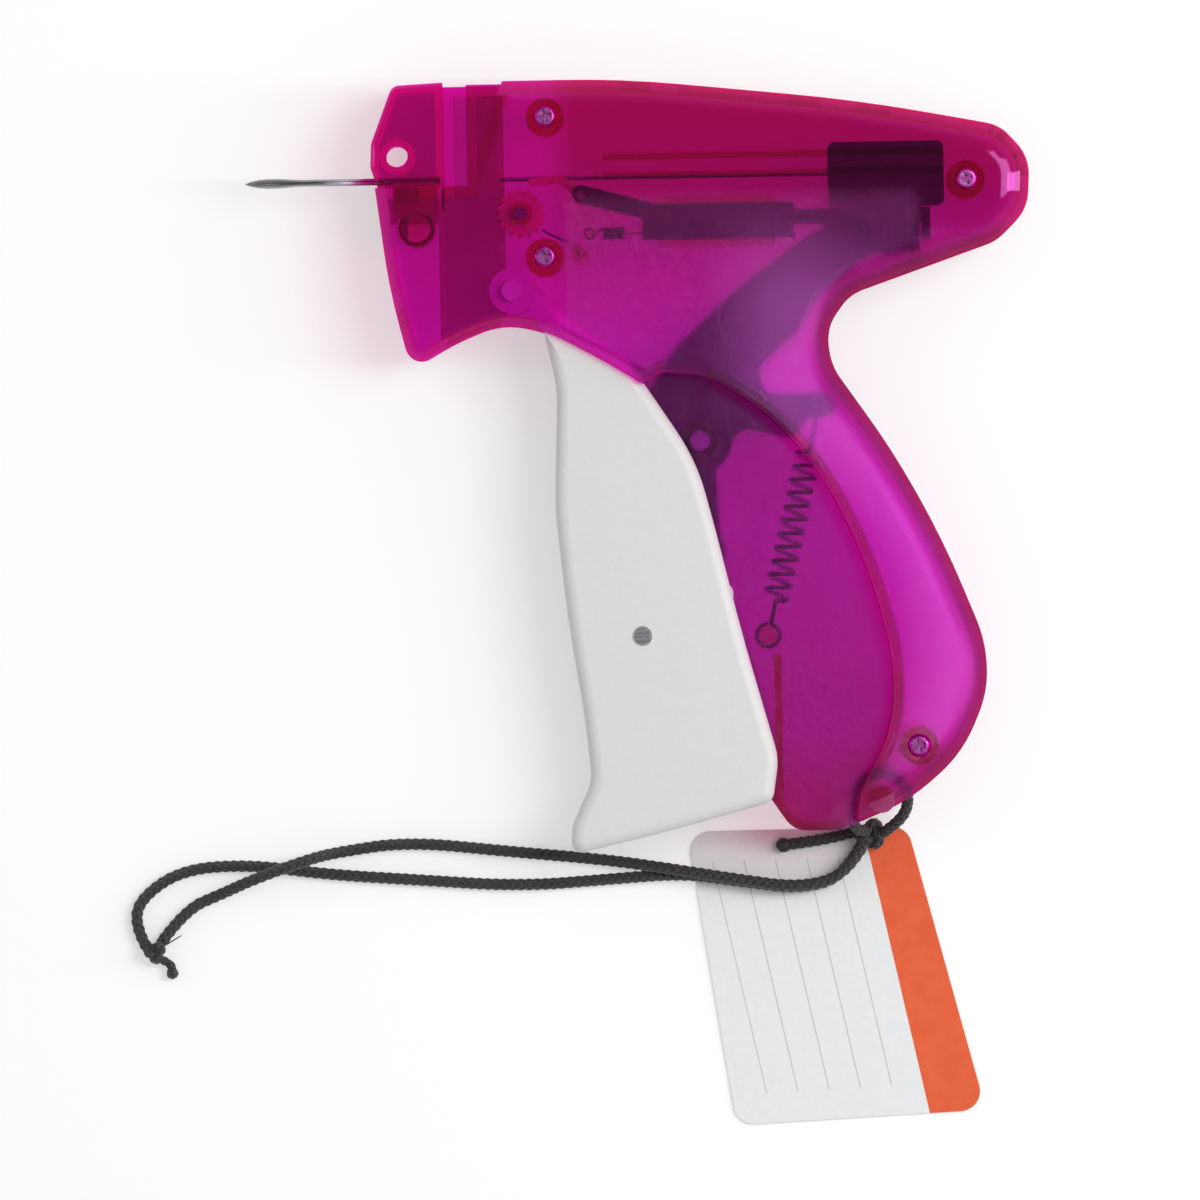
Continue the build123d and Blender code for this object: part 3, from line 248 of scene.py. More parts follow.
def plain_finish(name, colours, roughness, grain_scale, bump_depth, settings=None, stretch=None):
    """Principled finish: colour and roughness vary with a grain, which is also its bump."""
    finish = bpy.data.materials.new(name)
    tree = node_tree(finish)
    surface = add(tree, "BsdfPrincipled", settings)
    coarse = grained(tree, grain_scale, stretch=stretch)
    fine = grained(tree, grain_scale * FINE_GRAIN, detail=2.0, stretch=stretch)
    join(tree, ramp(tree, coarse, [(0.3, colours[0]), (0.7, colours[1])]), surface.inputs["Base Color"])
    join(tree, ramp(tree, fine, [(0.3, grey(roughness[0])), (0.7, grey(roughness[1]))]),
         surface.inputs["Roughness"])
    join(tree, bump(tree, fine, bump_depth), surface.inputs["Normal"])
    join(tree, surface.outputs[0], add(tree, "OutputMaterial").inputs["Surface"])
    return finish


cord_black = plain_finish(
    "cord_black", [(0.010, 0.010, 0.011), (0.036, 0.036, 0.038)], (0.38, 0.62), 1500.0, 0.00004,
    {"Sheen Weight": 0.25, "Sheen Roughness": 0.4},
)


def line_of(route):
    """Points along the smooth line that a route's points steer."""
    curve = bpy.data.curves.new("line", "CURVE")
    curve.dimensions = "3D"
    spline = curve.splines.new("NURBS")
    spline.points.add(len(route) - 1)
    for point, place in zip(spline.points, route):
        point.co = (*place, 1.0)
    spline.order_u = 3
    spline.use_endpoint_u = True
    spline.resolution_u = LINE_POINTS
    holder = bpy.data.objects.new("line", curve)
    bpy.context.collection.objects.link(holder)
    mesh = bpy.data.meshes.new_from_object(holder)
    points = [vertex.co.copy() for vertex in mesh.vertices]
    bpy.data.objects.remove(holder)
    bpy.data.meshes.remove(mesh)
    return points


def even_steps(points, step):
    """The line again, with points a step apart, and the length so far at each."""
    out, marks = [points[0].copy()], [0.0]
    travelled, wanted = 0.0, step
    for start, end in zip(points, points[1:]):
        run = (end - start).length
        while run > 1e-9 and travelled + run >= wanted:
            out.append(start.lerp(end, (wanted - travelled) / run))
            marks.append(wanted)
            wanted += step
        travelled += run
    out.append(points[-1].copy())
    marks.append(travelled)
    return out, marks


def cross_frames(points):
    """Two directions square to the line at each point, turned as little as possible on the way."""
    frames = []
    side = None
    for i, point in enumerate(points):
        along = (points[min(i + 1, len(points) - 1)] - points[max(i - 1, 0)]).normalized()
        if side is None:
            side = along.cross(Vector((0.0, 0.0, 1.0)))
            if side.length < 0.1:
                side = along.cross(Vector((1.0, 0.0, 0.0)))
        side = (side - along * side.dot(along)).normalized()
        frames.append((side, along.cross(side)))
    return frames


def tube(shape, points, half_width, half_depth, faces, outward=None):
    """Closed tube of an oval section along points; outward gives the direction of its thin side."""
    frames = cross_frames(points)
    rings = []
    for i, point in enumerate(points):
        side, up = frames[i]
        if outward is not None:
            along = (points[min(i + 1, len(points) - 1)] - points[max(i - 1, 0)]).normalized()
            up = outward[i]
            side = along.cross(up).normalized()
        taper = TUBE_END if i in (0, len(points) - 1) else 1.0
        rings.append([
            shape.verts.new(
                point
                + side * math.cos(2 * math.pi * k / faces) * half_width * taper
                + up * math.sin(2 * math.pi * k / faces) * half_depth * taper
            )
            for k in range(faces)
        ])
    for lower, upper in zip(rings, rings[1:]):
        for k in range(faces):
            shape.faces.new((lower[k], lower[(k + 1) % faces], upper[(k + 1) % faces], upper[k]))
    shape.faces.new(reversed(rings[0]))
    shape.faces.new(rings[-1])


def piece_from(name, shape, finish, body, smooth=True):
    """New piece of the tool from a bmesh, with its finish, riding on its body."""
    bmesh.ops.recalc_face_normals(shape, faces=shape.faces)
    for face in shape.faces:
        face.smooth = smooth
    mesh = bpy.data.meshes.new(name)
    shape.to_mesh(mesh)
    shape.free()
    mesh.materials.append(finish)
    piece = bpy.data.objects.new(name, mesh)
    bpy.context.collection.objects.link(piece)
    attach(piece, body)
    return piece


def braid(shape, line, radius=BRAID_RADIUS):
    """Eight yarns woven round a core along a line of points."""
    points, marks = even_steps(line, STEP)
    frames = cross_frames(points)
    share = radius / BRAID_RADIUS
    turn_rate = 2 * math.pi / BRAID_PITCH
    for way in (1, -1):
        for carrier in range(CARRIERS):
            yarn, outward = [], []
            for point, mark, (side, up) in zip(points, marks, frames):
                angle = way * turn_rate * mark + 2 * math.pi * carrier / CARRIERS
                out = side * math.cos(angle) + up * math.sin(angle)
                wave = way * BRAID_WAVE * math.cos(CARRIERS * turn_rate * mark)
                yarn.append(point + out * (radius + wave * share))
                outward.append(out)
            tube(shape, yarn, YARN_HALF_WIDTH * share, YARN_HALF_DEPTH * share, YARN_FACES, outward)
    tube(shape, points[::3] + [points[-1]], CORE_RADIUS * share, CORE_RADIUS * share, CORE_FACES)


cord_lines = {name: line_of(route) for name, route in CORD_ROUTES.items()}
for name in ("ring", "strand_a", "strand_b", "stub"):
    shape = bmesh.new()
    braid(shape, cord_lines[name])
    piece_from("strap_" + name + "_cord", shape, cord_black, "housing")
    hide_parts("strap_" + name)

# ---- the knots ----------------------------------------------------------------------------------------
# Both knots are tied in the same cord: a hitch that gathers the strap under the grip, and an overhand knot
# that joins its two strands, with the cut ends melted to small beads.
HITCH = Vector((0.04449, -0.07476, 0.0036))
HITCH_REACH = 0.0024
HITCH_FLAT = 0.0010         # half of its height over the middle of the cord
HITCH_TURN = 0.6
HITCH_BRAID = 0.00070
END_KNOT = Vector((-0.09951, -0.09576, 0.0025))
END_REACH = 0.0016
END_FLAT = 0.0007
END_TURN = 0.2
END_BRAID = 0.00062
END_TAIL = [
    Vector((-0.0990, -0.0968, 0.0022)), Vector((-0.0980, -0.0974, 0.0016)),
    Vector((-0.0969, -0.0980, 0.0013)), Vector((-0.0962, -0.0988, 0.0013)),
    Vector((-0.0960, -0.0999, 0.0013)),
]
END_BEAD = Vector((-0.0961, -0.1001, 0.0013))
END_BEAD_RADIUS = 0.00120
STUB_BEAD = Vector((0.02700, -0.07664, 0.0018))
STUB_BEAD_RADIUS = 0.00150
BEAD_HEIGHT = 0.95          # share of its radius
BEAD_LUMP = 0.10            # share of its radius
KNOT_STEPS = 72
FIBRE_STEPS = 5
FIBRE_RADIUS = 0.00013
FIBRE_WAVE = 0.0002
FIBRES = (                  # root and tip
    (Vector((-0.0975, -0.0945, 0.0013)), Vector((-0.0941, -0.0925, 0.0019))),
    (Vector((-0.0962, -0.0999, 0.0013)), Vector((-0.0949, -0.1004, 0.0021))),
)


def knot_line(centre, reach, flat, turn):
    """Closed line of an overhand knot, flattened onto the table."""
    points = []
    for i in range(KNOT_STEPS + 1):
        t = 2 * math.pi * i / KNOT_STEPS
        x = (math.sin(t) + 2 * math.sin(2 * t)) / 3
        y = (math.cos(t) - 2 * math.cos(2 * t)) / 3
        z = -math.sin(3 * t)
        points.append(centre + Vector((
            reach * (x * math.cos(turn) - y * math.sin(turn)),
            reach * (x * math.sin(turn) + y * math.cos(turn)),
            flat * z,
        )))
    return points


def bead(shape, centre, radius):
    """Small melted blob, a little lumpy."""
    made = bmesh.ops.create_icosphere(shape, subdivisions=3, radius=radius)
    for vertex in made["verts"]:
        lump = 1 + BEAD_LUMP * math.sin(9000 * vertex.co.x + 4) * math.cos(8000 * vertex.co.y)
        vertex.co = centre + Vector((vertex.co.x * lump, vertex.co.y * lump, vertex.co.z * BEAD_HEIGHT))


shape = bmesh.new()
braid(shape, knot_line(HITCH, HITCH_REACH, HITCH_FLAT, HITCH_TURN), HITCH_BRAID)
hitch = piece_from("hitch_knot_cord", shape, cord_black, "housing")
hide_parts("hitch_knot")

shape = bmesh.new()
braid(shape, knot_line(END_KNOT, END_REACH, END_FLAT, END_TURN), END_BRAID)
braid(shape, END_TAIL, END_BRAID)
bead(shape, END_BEAD, END_BEAD_RADIUS)
end = piece_from("end_knot_cord", shape, cord_black, "housing")
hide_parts("end_knot")

shape = bmesh.new()
bead(shape, STUB_BEAD, STUB_BEAD_RADIUS)
melted_end = piece_from("strap_stub_bead", shape, cord_black, "housing")

shape = bmesh.new()
for root, tip in FIBRES:
    fibre = [
        root.lerp(tip, k / FIBRE_STEPS) + Vector((0, 0, FIBRE_WAVE * math.sin(k)))
        for k in range(FIBRE_STEPS + 1)
    ]
    tube(shape, fibre, FIBRE_RADIUS, FIBRE_RADIUS, YARN_FACES)
fibres = piece_from("end_knot_fibres", shape, cord_black, "housing")

# ---- the hang card ------------------------------------------------------------------------------------
# Coated card, half a millimetre thick, with round corners and an orange band printed along one side. It
# lies under the strap, and its lines are ruled for a user's own notes.
CARD_CORNERS = [(0.00769, -0.07366), (0.05189, -0.07336), (0.06669, -0.13056), (0.01659, -0.13276)]
CARD_ROUND = 0.004
CARD_ROUND_STEPS = 8
CARD_THICKNESS = 0.0005
BEVEL = 0.00007             # of the cut edge
BAND_LINE = ((0.0438, -0.0770), (0.0554, -0.1311))      # edge between the white and the orange
BAND_EDGE = 0.00008
RULE_SPACING = 0.0062
RULE_HALF_WIDTH = 0.00011
RULE_MARGIN = 0.0060        # from the ends of the card to the ends of the lines
RULES = 5
RULE_STRENGTH = 0.55
RULE_EDGE = 0.00003
RULE_END = 0.0001
RULE_INK = (0.30, 0.31, 0.33, 1.0)


def line_distance(tree, a, b):
    """How far a place on the card lies to the right of the line from a to b."""
    place = add(tree, "TexCoord")
    axes = add(tree, "SeparateXYZ")
    join(tree, place.outputs["Object"], axes.inputs[0])
    length = math.hypot(b[0] - a[0], b[1] - a[1])
    across = (-(b[1] - a[1]) / length, (b[0] - a[0]) / length)
    offset = -(a[0] * across[0] + a[1] * across[1])
    x_share = add(tree, "Math", {1: across[0]}, operation="MULTIPLY")
    join(tree, axes.outputs["X"], x_share.inputs[0])
    y_share = add(tree, "Math", {1: across[1], 2: offset}, operation="MULTIPLY_ADD")
    join(tree, axes.outputs["Y"], y_share.inputs[0])
    total = add(tree, "Math", operation="ADD")
    join(tree, x_share.outputs[0], total.inputs[0])
    join(tree, y_share.outputs[0], total.inputs[1])
    return total.outputs[0]


def ranged(tree, source, low, high):
    """0 below low, 1 above high, and even in between."""
    node = add(tree, "MapRange", {"From Min": low, "From Max": high})
    join(tree, source, node.inputs["Value"])
    return node.outputs["Result"]


def times(tree, a, b):
    """Product of two values; b may be a plain number."""
    node = add(tree, "Math", operation="MULTIPLY")
    join(tree, a, node.inputs[0])
    if isinstance(b, float):
        node.inputs[1].default_value = b
    else:
        join(tree, b, node.inputs[1])
    return node.outputs[0]


def ruled_lines(tree, past_band, from_ends):
    """1 on thin lines beside the band, which stop short of the ends of the card."""
    fold = add(tree, "Math", {1: RULE_SPACING / 2}, operation="PINGPONG")
    join(tree, past_band, fold.inputs[0])
    on_line = ranged(tree, fold.outputs[0], RULE_HALF_WIDTH + RULE_EDGE, RULE_HALF_WIDTH - RULE_EDGE)
    before_first, last = -RULE_SPACING / 2, -RULES * RULE_SPACING
    beside = times(
        tree, ranged(tree, past_band, before_first, before_first - RULE_END),
        ranged(tree, past_band, last - 2 * RULE_END, last),
    )
    for distance in from_ends:
        beside = times(tree, beside, ranged(tree, distance, -RULE_MARGIN, -RULE_MARGIN - RULE_END))
    return times(tree, on_line, times(tree, beside, RULE_STRENGTH))


card_print = bpy.data.materials.new("card_print")
tree = node_tree(card_print)
surface = add(tree, "BsdfPrincipled", {"Roughness": 0.42})
white_stock = ramp(tree, grained(tree, 900.0), [(0.3, (0.84, 0.855, 0.865)), (0.7, (0.88, 0.89, 0.895))])
orange_ink = ramp(tree, grained(tree, 260.0), [(0.3, (0.80, 0.100, 0.022)), (0.7, (0.86, 0.125, 0.032))])
past_band = line_distance(tree, *BAND_LINE)
from_ends = [
    line_distance(tree, CARD_CORNERS[0], CARD_CORNERS[1]),
    line_distance(tree, CARD_CORNERS[2], CARD_CORNERS[3]),
]
ruled = add(tree, "Mix", {"B": RULE_INK}, data_type="RGBA")
join(tree, ruled_lines(tree, past_band, from_ends), ruled.inputs["Factor"])
join(tree, white_stock, ruled.inputs["A"])
printed = add(tree, "Mix", data_type="RGBA")
join(tree, ranged(tree, past_band, -BAND_EDGE, BAND_EDGE), printed.inputs["Factor"])
join(tree, ruled.outputs["Result"], printed.inputs["A"])
join(tree, orange_ink, printed.inputs["B"])
join(tree, printed.outputs["Result"], surface.inputs["Base Color"])
join(tree, bump(tree, grained(tree, 2600.0), 0.00001, 0.6), surface.inputs["Normal"])
join(tree, surface.outputs[0], add(tree, "OutputMaterial").inputs["Surface"])


def rounded_outline(corners, radius, steps):
    """Corner points with each corner replaced by an arc."""
    out = []
    count = len(corners)
    for i in range(count):
        corner, back, ahead = (Vector(corners[k % count]) for k in (i, i - 1, i + 1))
        to_back, to_ahead = (back - corner).normalized(), (ahead - corner).normalized()
        half = to_back.angle(to_ahead) / 2
        middle = corner + (to_back + to_ahead).normalized() * radius / math.sin(half)
        first = corner + to_back * radius / math.tan(half) - middle
        last = corner + to_ahead * radius / math.tan(half) - middle
        for k in range(steps + 1):
            out.append(middle + first.lerp(last, k / steps).normalized() * radius)
    return out


shape = bmesh.new()
edge = rounded_outline(CARD_CORNERS, CARD_ROUND, CARD_ROUND_STEPS)
centre = sum((Vector(corner) for corner in CARD_CORNERS), Vector((0.0, 0.0))) / len(CARD_CORNERS)
rings = []
for inset, height in ((BEVEL, 0.0), (0.0, BEVEL), (0.0, CARD_THICKNESS - BEVEL), (BEVEL, CARD_THICKNESS)):
    ring = []
    for point in edge:
        pulled = point + (centre - point).normalized() * inset
        ring.append(shape.verts.new((pulled.x, pulled.y, height)))
    rings.append(ring)
for lower, upper in zip(rings, rings[1:]):
    for k in range(len(edge)):
        following = (k + 1) % len(edge)
        shape.faces.new((lower[k], lower[following], upper[following], upper[k]))
shape.faces.new(reversed(rings[0]))
shape.faces.new(rings[-1])
card = piece_from("printed_card", shape, card_print, "housing", smooth=False)
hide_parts("hang_card")

# ---- the shells and the nose cap ----------------------------------------------------------------------
# Clear magenta polystyrene: light reaches the eye through the walls, so thick places are deep crimson and
# thin ones bright. The upper band and the nose are polished; the rest has a fine spark texture.
MAGENTA_LET_THROUGH = (0.984, 0.020, 0.900, 1.0)
MAGENTA_DENSITY = 760.0
SHELL_REACH = (-0.075, 0.078)           # from the foot of the grip to the top of the body
SHELL_TINTS = [
    (0.02, (0.87, 0.46, 0.74)), (0.13, (0.90, 0.48, 0.90)), (0.40, (0.92, 0.48, 0.955)),
    (0.62, (0.90, 0.46, 0.91)), (0.78, (0.87, 0.44, 0.80)), (0.87, (0.86, 0.44, 0.70)),
    (1.0, (0.87, 0.42, 0.64)),
]
CAP_TINTS = [(0.0, (0.93, 0.50, 0.88)), (1.0, (0.92, 0.46, 0.84))]
NOSE_TINT = (0.94, 0.50, 0.89, 1.0)
NOSE_SHARE = 0.7
NOSE_FADE = 0.003
RIM_TINT = (0.95, 0.12, 0.55, 1.0)
RIM_START = 0.40                        # how far a wall turns away before its edge reddens
RIM_FULL = 0.80
RIM_GLOSS = 0.13                        # most that the skin mirrors where it is seen edge-on
RECESS_HEIGHTS = (0.0045, 0.0205)       # of the walls of the thin front of the grip, above the table
RECESS_FADE = 0.0002
# painted shade: the set-back front of the grip is made darker and redder
RECESS_SHADE_TINT = (0.92, 0.92, 0.87, 1.0)
BAND_FOOT = 0.0540                      # height of the lower edge of the polished band
TEXTURE_FRONT = -0.0150                 # the nose in front of this is polished
TEXTURE_START = 0.0008
KNOB = (0.0560, 0.0460)                 # the rear knob, behind and above this, is polished
POLISH_FADE = 0.002
SPARK_SCALE = 1900.0
SPARK_DEPTH = 0.00012
SKIN_COLOURS = [(0.2, (0.74, 0.34, 0.92)), (0.7, (0.95, 0.12, 0.42))]
POLISHED, TEXTURED = 0.07, 0.24         # roughness of the skin
FLOW_SCALE = 70.0                       # of the faint flow marks in the polished skin
FLOW_ROUGHNESS = (0.05, 0.09)
SKIN_IOR = 1.5
BLUR_ROUGHNESS = 0.55                   # of what is seen through the textured wall
BLUR_IOR = 1.28
BLUR_SHARE = 0.6
# Pale diffuse specks on the brightest grains of the spark texture: painted glints.
GLINT_SPECK_COLOUR = (0.50, 0.22, 0.42, 1.0)
GLINT_SPECK_START, GLINT_SPECK_FULL, GLINT_SPECK_SHARE = 0.55, 0.68, 0.11
PLASTIC_BODY = (0.62, 0.004, 0.34, 1.0)
BODY_SHARE = 0.015
GRIP_MIDDLE = (0.0073, -0.0374, 0.0)    # middle of the arc that the back of the grip follows
GRIP_CROWN = ((0.043, 0.054), (0.092, 0.072))   # how far out the crown starts, and how far out it ends
GRIP_BACK = (0.012, 0.030)              # only the part of the arc behind this is crowned
GRIP_OUTWARD = (1.0, 0.42, 0.0)
GRIP_LEAN = 0.24


def place_axis(tree, axis):
    """One of the coordinates of the piece's own place, in metres."""
    place = add(tree, "TexCoord")
    axes = add(tree, "SeparateXYZ")
    join(tree, place.outputs["Object"], axes.inputs[0])
    return axes.outputs[axis]


def blend_shaders(tree, share, first, second):
    """Shader that is first where share is 0 and second where it is 1."""
    node = add(tree, "MixShader")
    if isinstance(share, float):
        node.inputs[0].default_value = share
    else:
        join(tree, share, node.inputs[0])
    join(tree, first, node.inputs[1])
    join(tree, second, node.inputs[2])
    return node.outputs[0]


def larger(tree, a, b):
    """The larger of two values."""
    node = add(tree, "Math", operation="MAXIMUM")
    join(tree, a, node.inputs[0])
    join(tree, b, node.inputs[1])
    return node.outputs[0]


def textured_share(tree):
    """1 where the shell has its spark texture, and 0 on the band, the nose and the rear knob."""
    along, height = place_axis(tree, "X"), place_axis(tree, "Y")
    below_band = ranged(tree, height, BAND_FOOT + POLISH_FADE, BAND_FOOT - POLISH_FADE)
    behind_nose = ranged(tree, along, TEXTURE_FRONT - TEXTURE_START, TEXTURE_FRONT + TEXTURE_START)
    before_knob = ranged(tree, along, KNOB[0] + POLISH_FADE, KNOB[0] - POLISH_FADE)
    below_knob = ranged(tree, height, KNOB[1] + POLISH_FADE, KNOB[1] - POLISH_FADE)
    return times(tree, times(tree, below_band, behind_nose), larger(tree, before_knob, below_knob))


def crowned_normal(tree):
    """Normal of the skin, leaned outwards over the crowned outer side of the grip."""
    place = add(tree, "TexCoord")
    from_middle = add(tree, "VectorMath", {1: GRIP_MIDDLE}, operation="DISTANCE")
    flat = add(tree, "VectorMath", {1: (1.0, 1.0, 0.0)}, operation="MULTIPLY")
    join(tree, place.outputs["Object"], flat.inputs[0])
    join(tree, flat.outputs[0], from_middle.inputs[0])
    away = from_middle.outputs["Value"]
    crown = times(tree, ranged(tree, away, *GRIP_CROWN[0]), ranged(tree, away, *GRIP_CROWN[1]))
    on_back = ranged(tree, place_axis(tree, "X"), *GRIP_BACK)
    lean = times(tree, times(tree, crown, on_back), GRIP_LEAN)
    leaned = add(tree, "VectorMath", {0: GRIP_OUTWARD}, operation="SCALE")
    join(tree, lean, leaned.inputs["Scale"])
    surface = add(tree, "NewGeometry")
    total = add(tree, "VectorMath", operation="ADD")
    join(tree, surface.outputs["Normal"], total.inputs[0])
    join(tree, leaned.outputs[0], total.inputs[1])
    unit = add(tree, "VectorMath", operation="NORMALIZE")
    join(tree, total.outputs[0], unit.inputs[0])
    return unit.outputs[0]


def wall_colour(tree, facing, tints):
    """What a face of the plastic lets through: by height, redder at rims, painted shade in the recess,
    paler at nose.
    """
    tint = add(tree, "Mix", {"B": RIM_TINT}, data_type="RGBA")
    join(tree, ramp(tree, facing, [(RIM_START, grey(0.0)), (RIM_FULL, grey(1.0))]), tint.inputs["Factor"])
    join(tree, ramp(tree, ranged(tree, place_axis(tree, "Y"), *SHELL_REACH), tints), tint.inputs["A"])
    level = place_axis(tree, "Z")
    low, high = RECESS_HEIGHTS
    in_recess = times(
        tree, ranged(tree, level, low - RECESS_FADE, low), ranged(tree, level, high, high - RECESS_FADE),
    )
    # painted shade: darker, redder tint over the recessed front of the grip
    shaded_recess = add(tree, "Mix", {"B": RECESS_SHADE_TINT}, data_type="RGBA", blend_type="MULTIPLY")
    join(tree, in_recess, shaded_recess.inputs["Factor"])
    join(tree, tint.outputs["Result"], shaded_recess.inputs["A"])
    at_nose = ranged(tree, place_axis(tree, "X"), TEXTURE_FRONT + NOSE_FADE, TEXTURE_FRONT - NOSE_FADE)
    coloured = add(tree, "Mix", {"B": NOSE_TINT}, data_type="RGBA")
    join(tree, times(tree, at_nose, NOSE_SHARE), coloured.inputs["Factor"])
    join(tree, shaded_recess.outputs["Result"], coloured.inputs["A"])
    return coloured.outputs["Result"]


def textured_wall(tree, colour, through, skin):
    """Gives the skin its spark texture, with painted glints, and blurs what shows through; returns the
    wall's shader.
    """
    share = textured_share(tree)
    spark = grained(tree, SPARK_SCALE, detail=2.0, roughness=0.7)
    rough = add(tree, "Bump", {"Distance": SPARK_DEPTH})
    join(tree, times(tree, spark, share), rough.inputs["Height"])
    join(tree, crowned_normal(tree), rough.inputs["Normal"])
    join(tree, rough.outputs[0], skin.inputs["Normal"])
    join(tree, ramp(tree, share, [(0.0, grey(POLISHED)), (1.0, grey(TEXTURED))]), skin.inputs["Roughness"])
    path = add(tree, "LightPath")
    seen = add(tree, "Math", {0: 1.0}, operation="SUBTRACT")
    join(tree, path.outputs["Is Shadow Ray"], seen.inputs[1])
    blur = add(
        tree, "BsdfRefraction", {"Roughness": BLUR_ROUGHNESS, "IOR": BLUR_IOR}, distribution="BECKMANN",
    )
    join(tree, colour, blur.inputs["Color"])
    blurred = times(tree, times(tree, share, seen.outputs[0]), BLUR_SHARE)
    wall = blend_shaders(tree, blurred, through, blur.outputs[0])
    # pale diffuse specks on the brightest grains: painted glints of the spark texture
    painted_glint = add(tree, "BsdfDiffuse", {"Color": GLINT_SPECK_COLOUR})
    on_glint_grains = ramp(tree, spark, [(GLINT_SPECK_START, grey(0.0)), (GLINT_SPECK_FULL, grey(GLINT_SPECK_SHARE))])
    return blend_shaders(tree, times(tree, on_glint_grains, share), wall, painted_glint.outputs[0])


def clear_plastic(name, tints, textured):
    """Clear coloured plastic: a glossy skin over a body that lets light through and holds back green.

    tints are the colours that one face lets through, from the foot of the grip to the top of the body.
    """
    finish = bpy.data.materials.new(name)
    tree = node_tree(finish)
    facing = add(tree, "LayerWeight", {"Blend": 0.5}).outputs["Facing"]
    colour = wall_colour(tree, facing, tints)
    through = add(tree, "BsdfTransparent")
    join(tree, colour, through.inputs["Color"])
    skin = add(tree, "BsdfGlossy")
    join(tree, ramp(tree, facing, SKIN_COLOURS), skin.inputs["Color"])
    if textured:
        wall = textured_wall(tree, colour, through.outputs[0], skin)
    else:
        wall = through.outputs[0]
        smooth, dull = FLOW_ROUGHNESS
        flow = ramp(tree, grained(tree, FLOW_SCALE), [(0.3, grey(smooth)), (0.7, grey(dull))])
        join(tree, flow, skin.inputs["Roughness"])
    body = add(tree, "BsdfDiffuse", {"Color": PLASTIC_BODY})
    wall = blend_shaders(tree, BODY_SHARE, wall, body.outputs[0])
    fresnel = add(tree, "Fresnel", {"IOR": SKIN_IOR})
    mirrored = add(tree, "Math", {1: RIM_GLOSS}, operation="MINIMUM")
    join(tree, fresnel.outputs[0], mirrored.inputs[0])
    outer = blend_shaders(tree, mirrored.outputs[0], wall, skin.outputs[0])
    end_node = add(tree, "OutputMaterial")
    join(tree, outer, end_node.inputs["Surface"])
    inside = add(
        tree, "VolumeAbsorption", {"Color": MAGENTA_LET_THROUGH, "Density": MAGENTA_DENSITY},
    )
    join(tree, inside.outputs[0], end_node.inputs["Volume"])
    return finish


def finish_node(node, finish):
    """Gives a part of the frame its finish."""
    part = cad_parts[node]
    if not part.material_slots:
        part.data.materials.append(finish)
    for slot in part.material_slots:
        slot.material = finish


textured_magenta = clear_plastic("textured_magenta", SHELL_TINTS, True)
polished_magenta = clear_plastic("polished_magenta", SHELL_TINTS, False)
cap_magenta = clear_plastic("cap_magenta", CAP_TINTS, False)
finish_node("left_shell", textured_magenta)
finish_node("right_shell", polished_magenta)
finish_node("nose_cap", cap_magenta)

# ---- the trigger --------------------------------------------------------------------------------------
# White styrene, moulded as a channel with two cheeks, with a fine matt texture outside. It hangs on stub
# axles of its own in the shells, and a steel pin through its cheeks carries the drive link.
trigger_white = plain_finish(
    "trigger_white", [(0.715, 0.720, 0.712), (0.740, 0.743, 0.737)], (0.42, 0.56), 900.0, 0.00001,
)
finish_node("trigger", trigger_white)

# ---- the black working parts --------------------------------------------------------------------------
# Lever, slide, link and feed bar are glass-filled nylon, with the dull skin that it has from the mould.
# They run on pins and rails between the shells.
black_nylon = plain_finish(
    "black_nylon", [(0.010, 0.009, 0.012), (0.026, 0.024, 0.030)], (0.40, 0.60), 500.0, 0.00003,
)
for node in ("lever", "slide", "drive_link", "feed_bar"):
    finish_node(node, black_nylon)

# ---- the crimson working parts ------------------------------------------------------------------------
# Feed wheel, pawl, needle hub and needle lock are small mouldings in crimson acetal, which hardly show
# through the magenta of the nose.
crimson_acetal = plain_finish(
    "crimson_acetal", [(0.62, 0.030, 0.26), (0.74, 0.045, 0.34)], (0.30, 0.45), 600.0, 0.00001,
)
for node in ("feed_wheel", "feed_pawl", "needle_hub", "needle_lock"):
    finish_node(node, crimson_acetal)

# ---- the needle, the rod, the pins and the screws -----------------------------------------------------
# Bright steel. The needle is drawn tube, slotted along one side, with a lance point ground at its tip; the
# rod and pins are cut wire, and the screws are zinc plated, painted violet for the magenta plastic that
# they reflect, with paler painted glints.
bright_steel = plain_finish(
    "bright_steel", [(0.42, 0.43, 0.46), (0.60, 0.61, 0.64)], (0.20, 0.34), 700.0, 0.00001,
    {"Metallic": 1.0}, stretch=(0.05, 1.0, 1.0),
)
for node in (
    "push_rod", "knife_blade", "trigger_cross_pin", "lever_pivot_pin", "lever_drive_pin", "link_pin",
    "feed_wheel_axle", "feed_pawl_pin",
):
    finish_node(node, bright_steel)

NEEDLE_MIDDLE = (0.05764, 0.0125)       # up the tool, and above the table
NEEDLE_PROFILE = [          # place, half height, half depth, share of the bore, half angle of the slot
    (-0.07831, 0.00004, 0.00003, 0.10, 0.03), (-0.07790, 0.00022, 0.00014, 0.15, 0.03),
    (-0.07700, 0.00055, 0.00034, 0.25, 0.05), (-0.07560, 0.00084, 0.00050, 0.45, 0.12),
    (-0.07400, 0.00098, 0.00060, 0.60, 0.20), (-0.07220, 0.00099, 0.00066, 0.79, 0.24),
    (-0.07040, 0.00090, 0.00067, 0.79, 0.26), (-0.06860, 0.00077, 0.00066, 0.79, 0.28),
    (-0.06620, 0.00068, 0.00066, 0.79, 0.30), (-0.03935, 0.00070, 0.00070, 0.79, 0.30),
]
SECTION_POINTS = 20         # round each of the outside and the bore
shape = bmesh.new()
rings = []
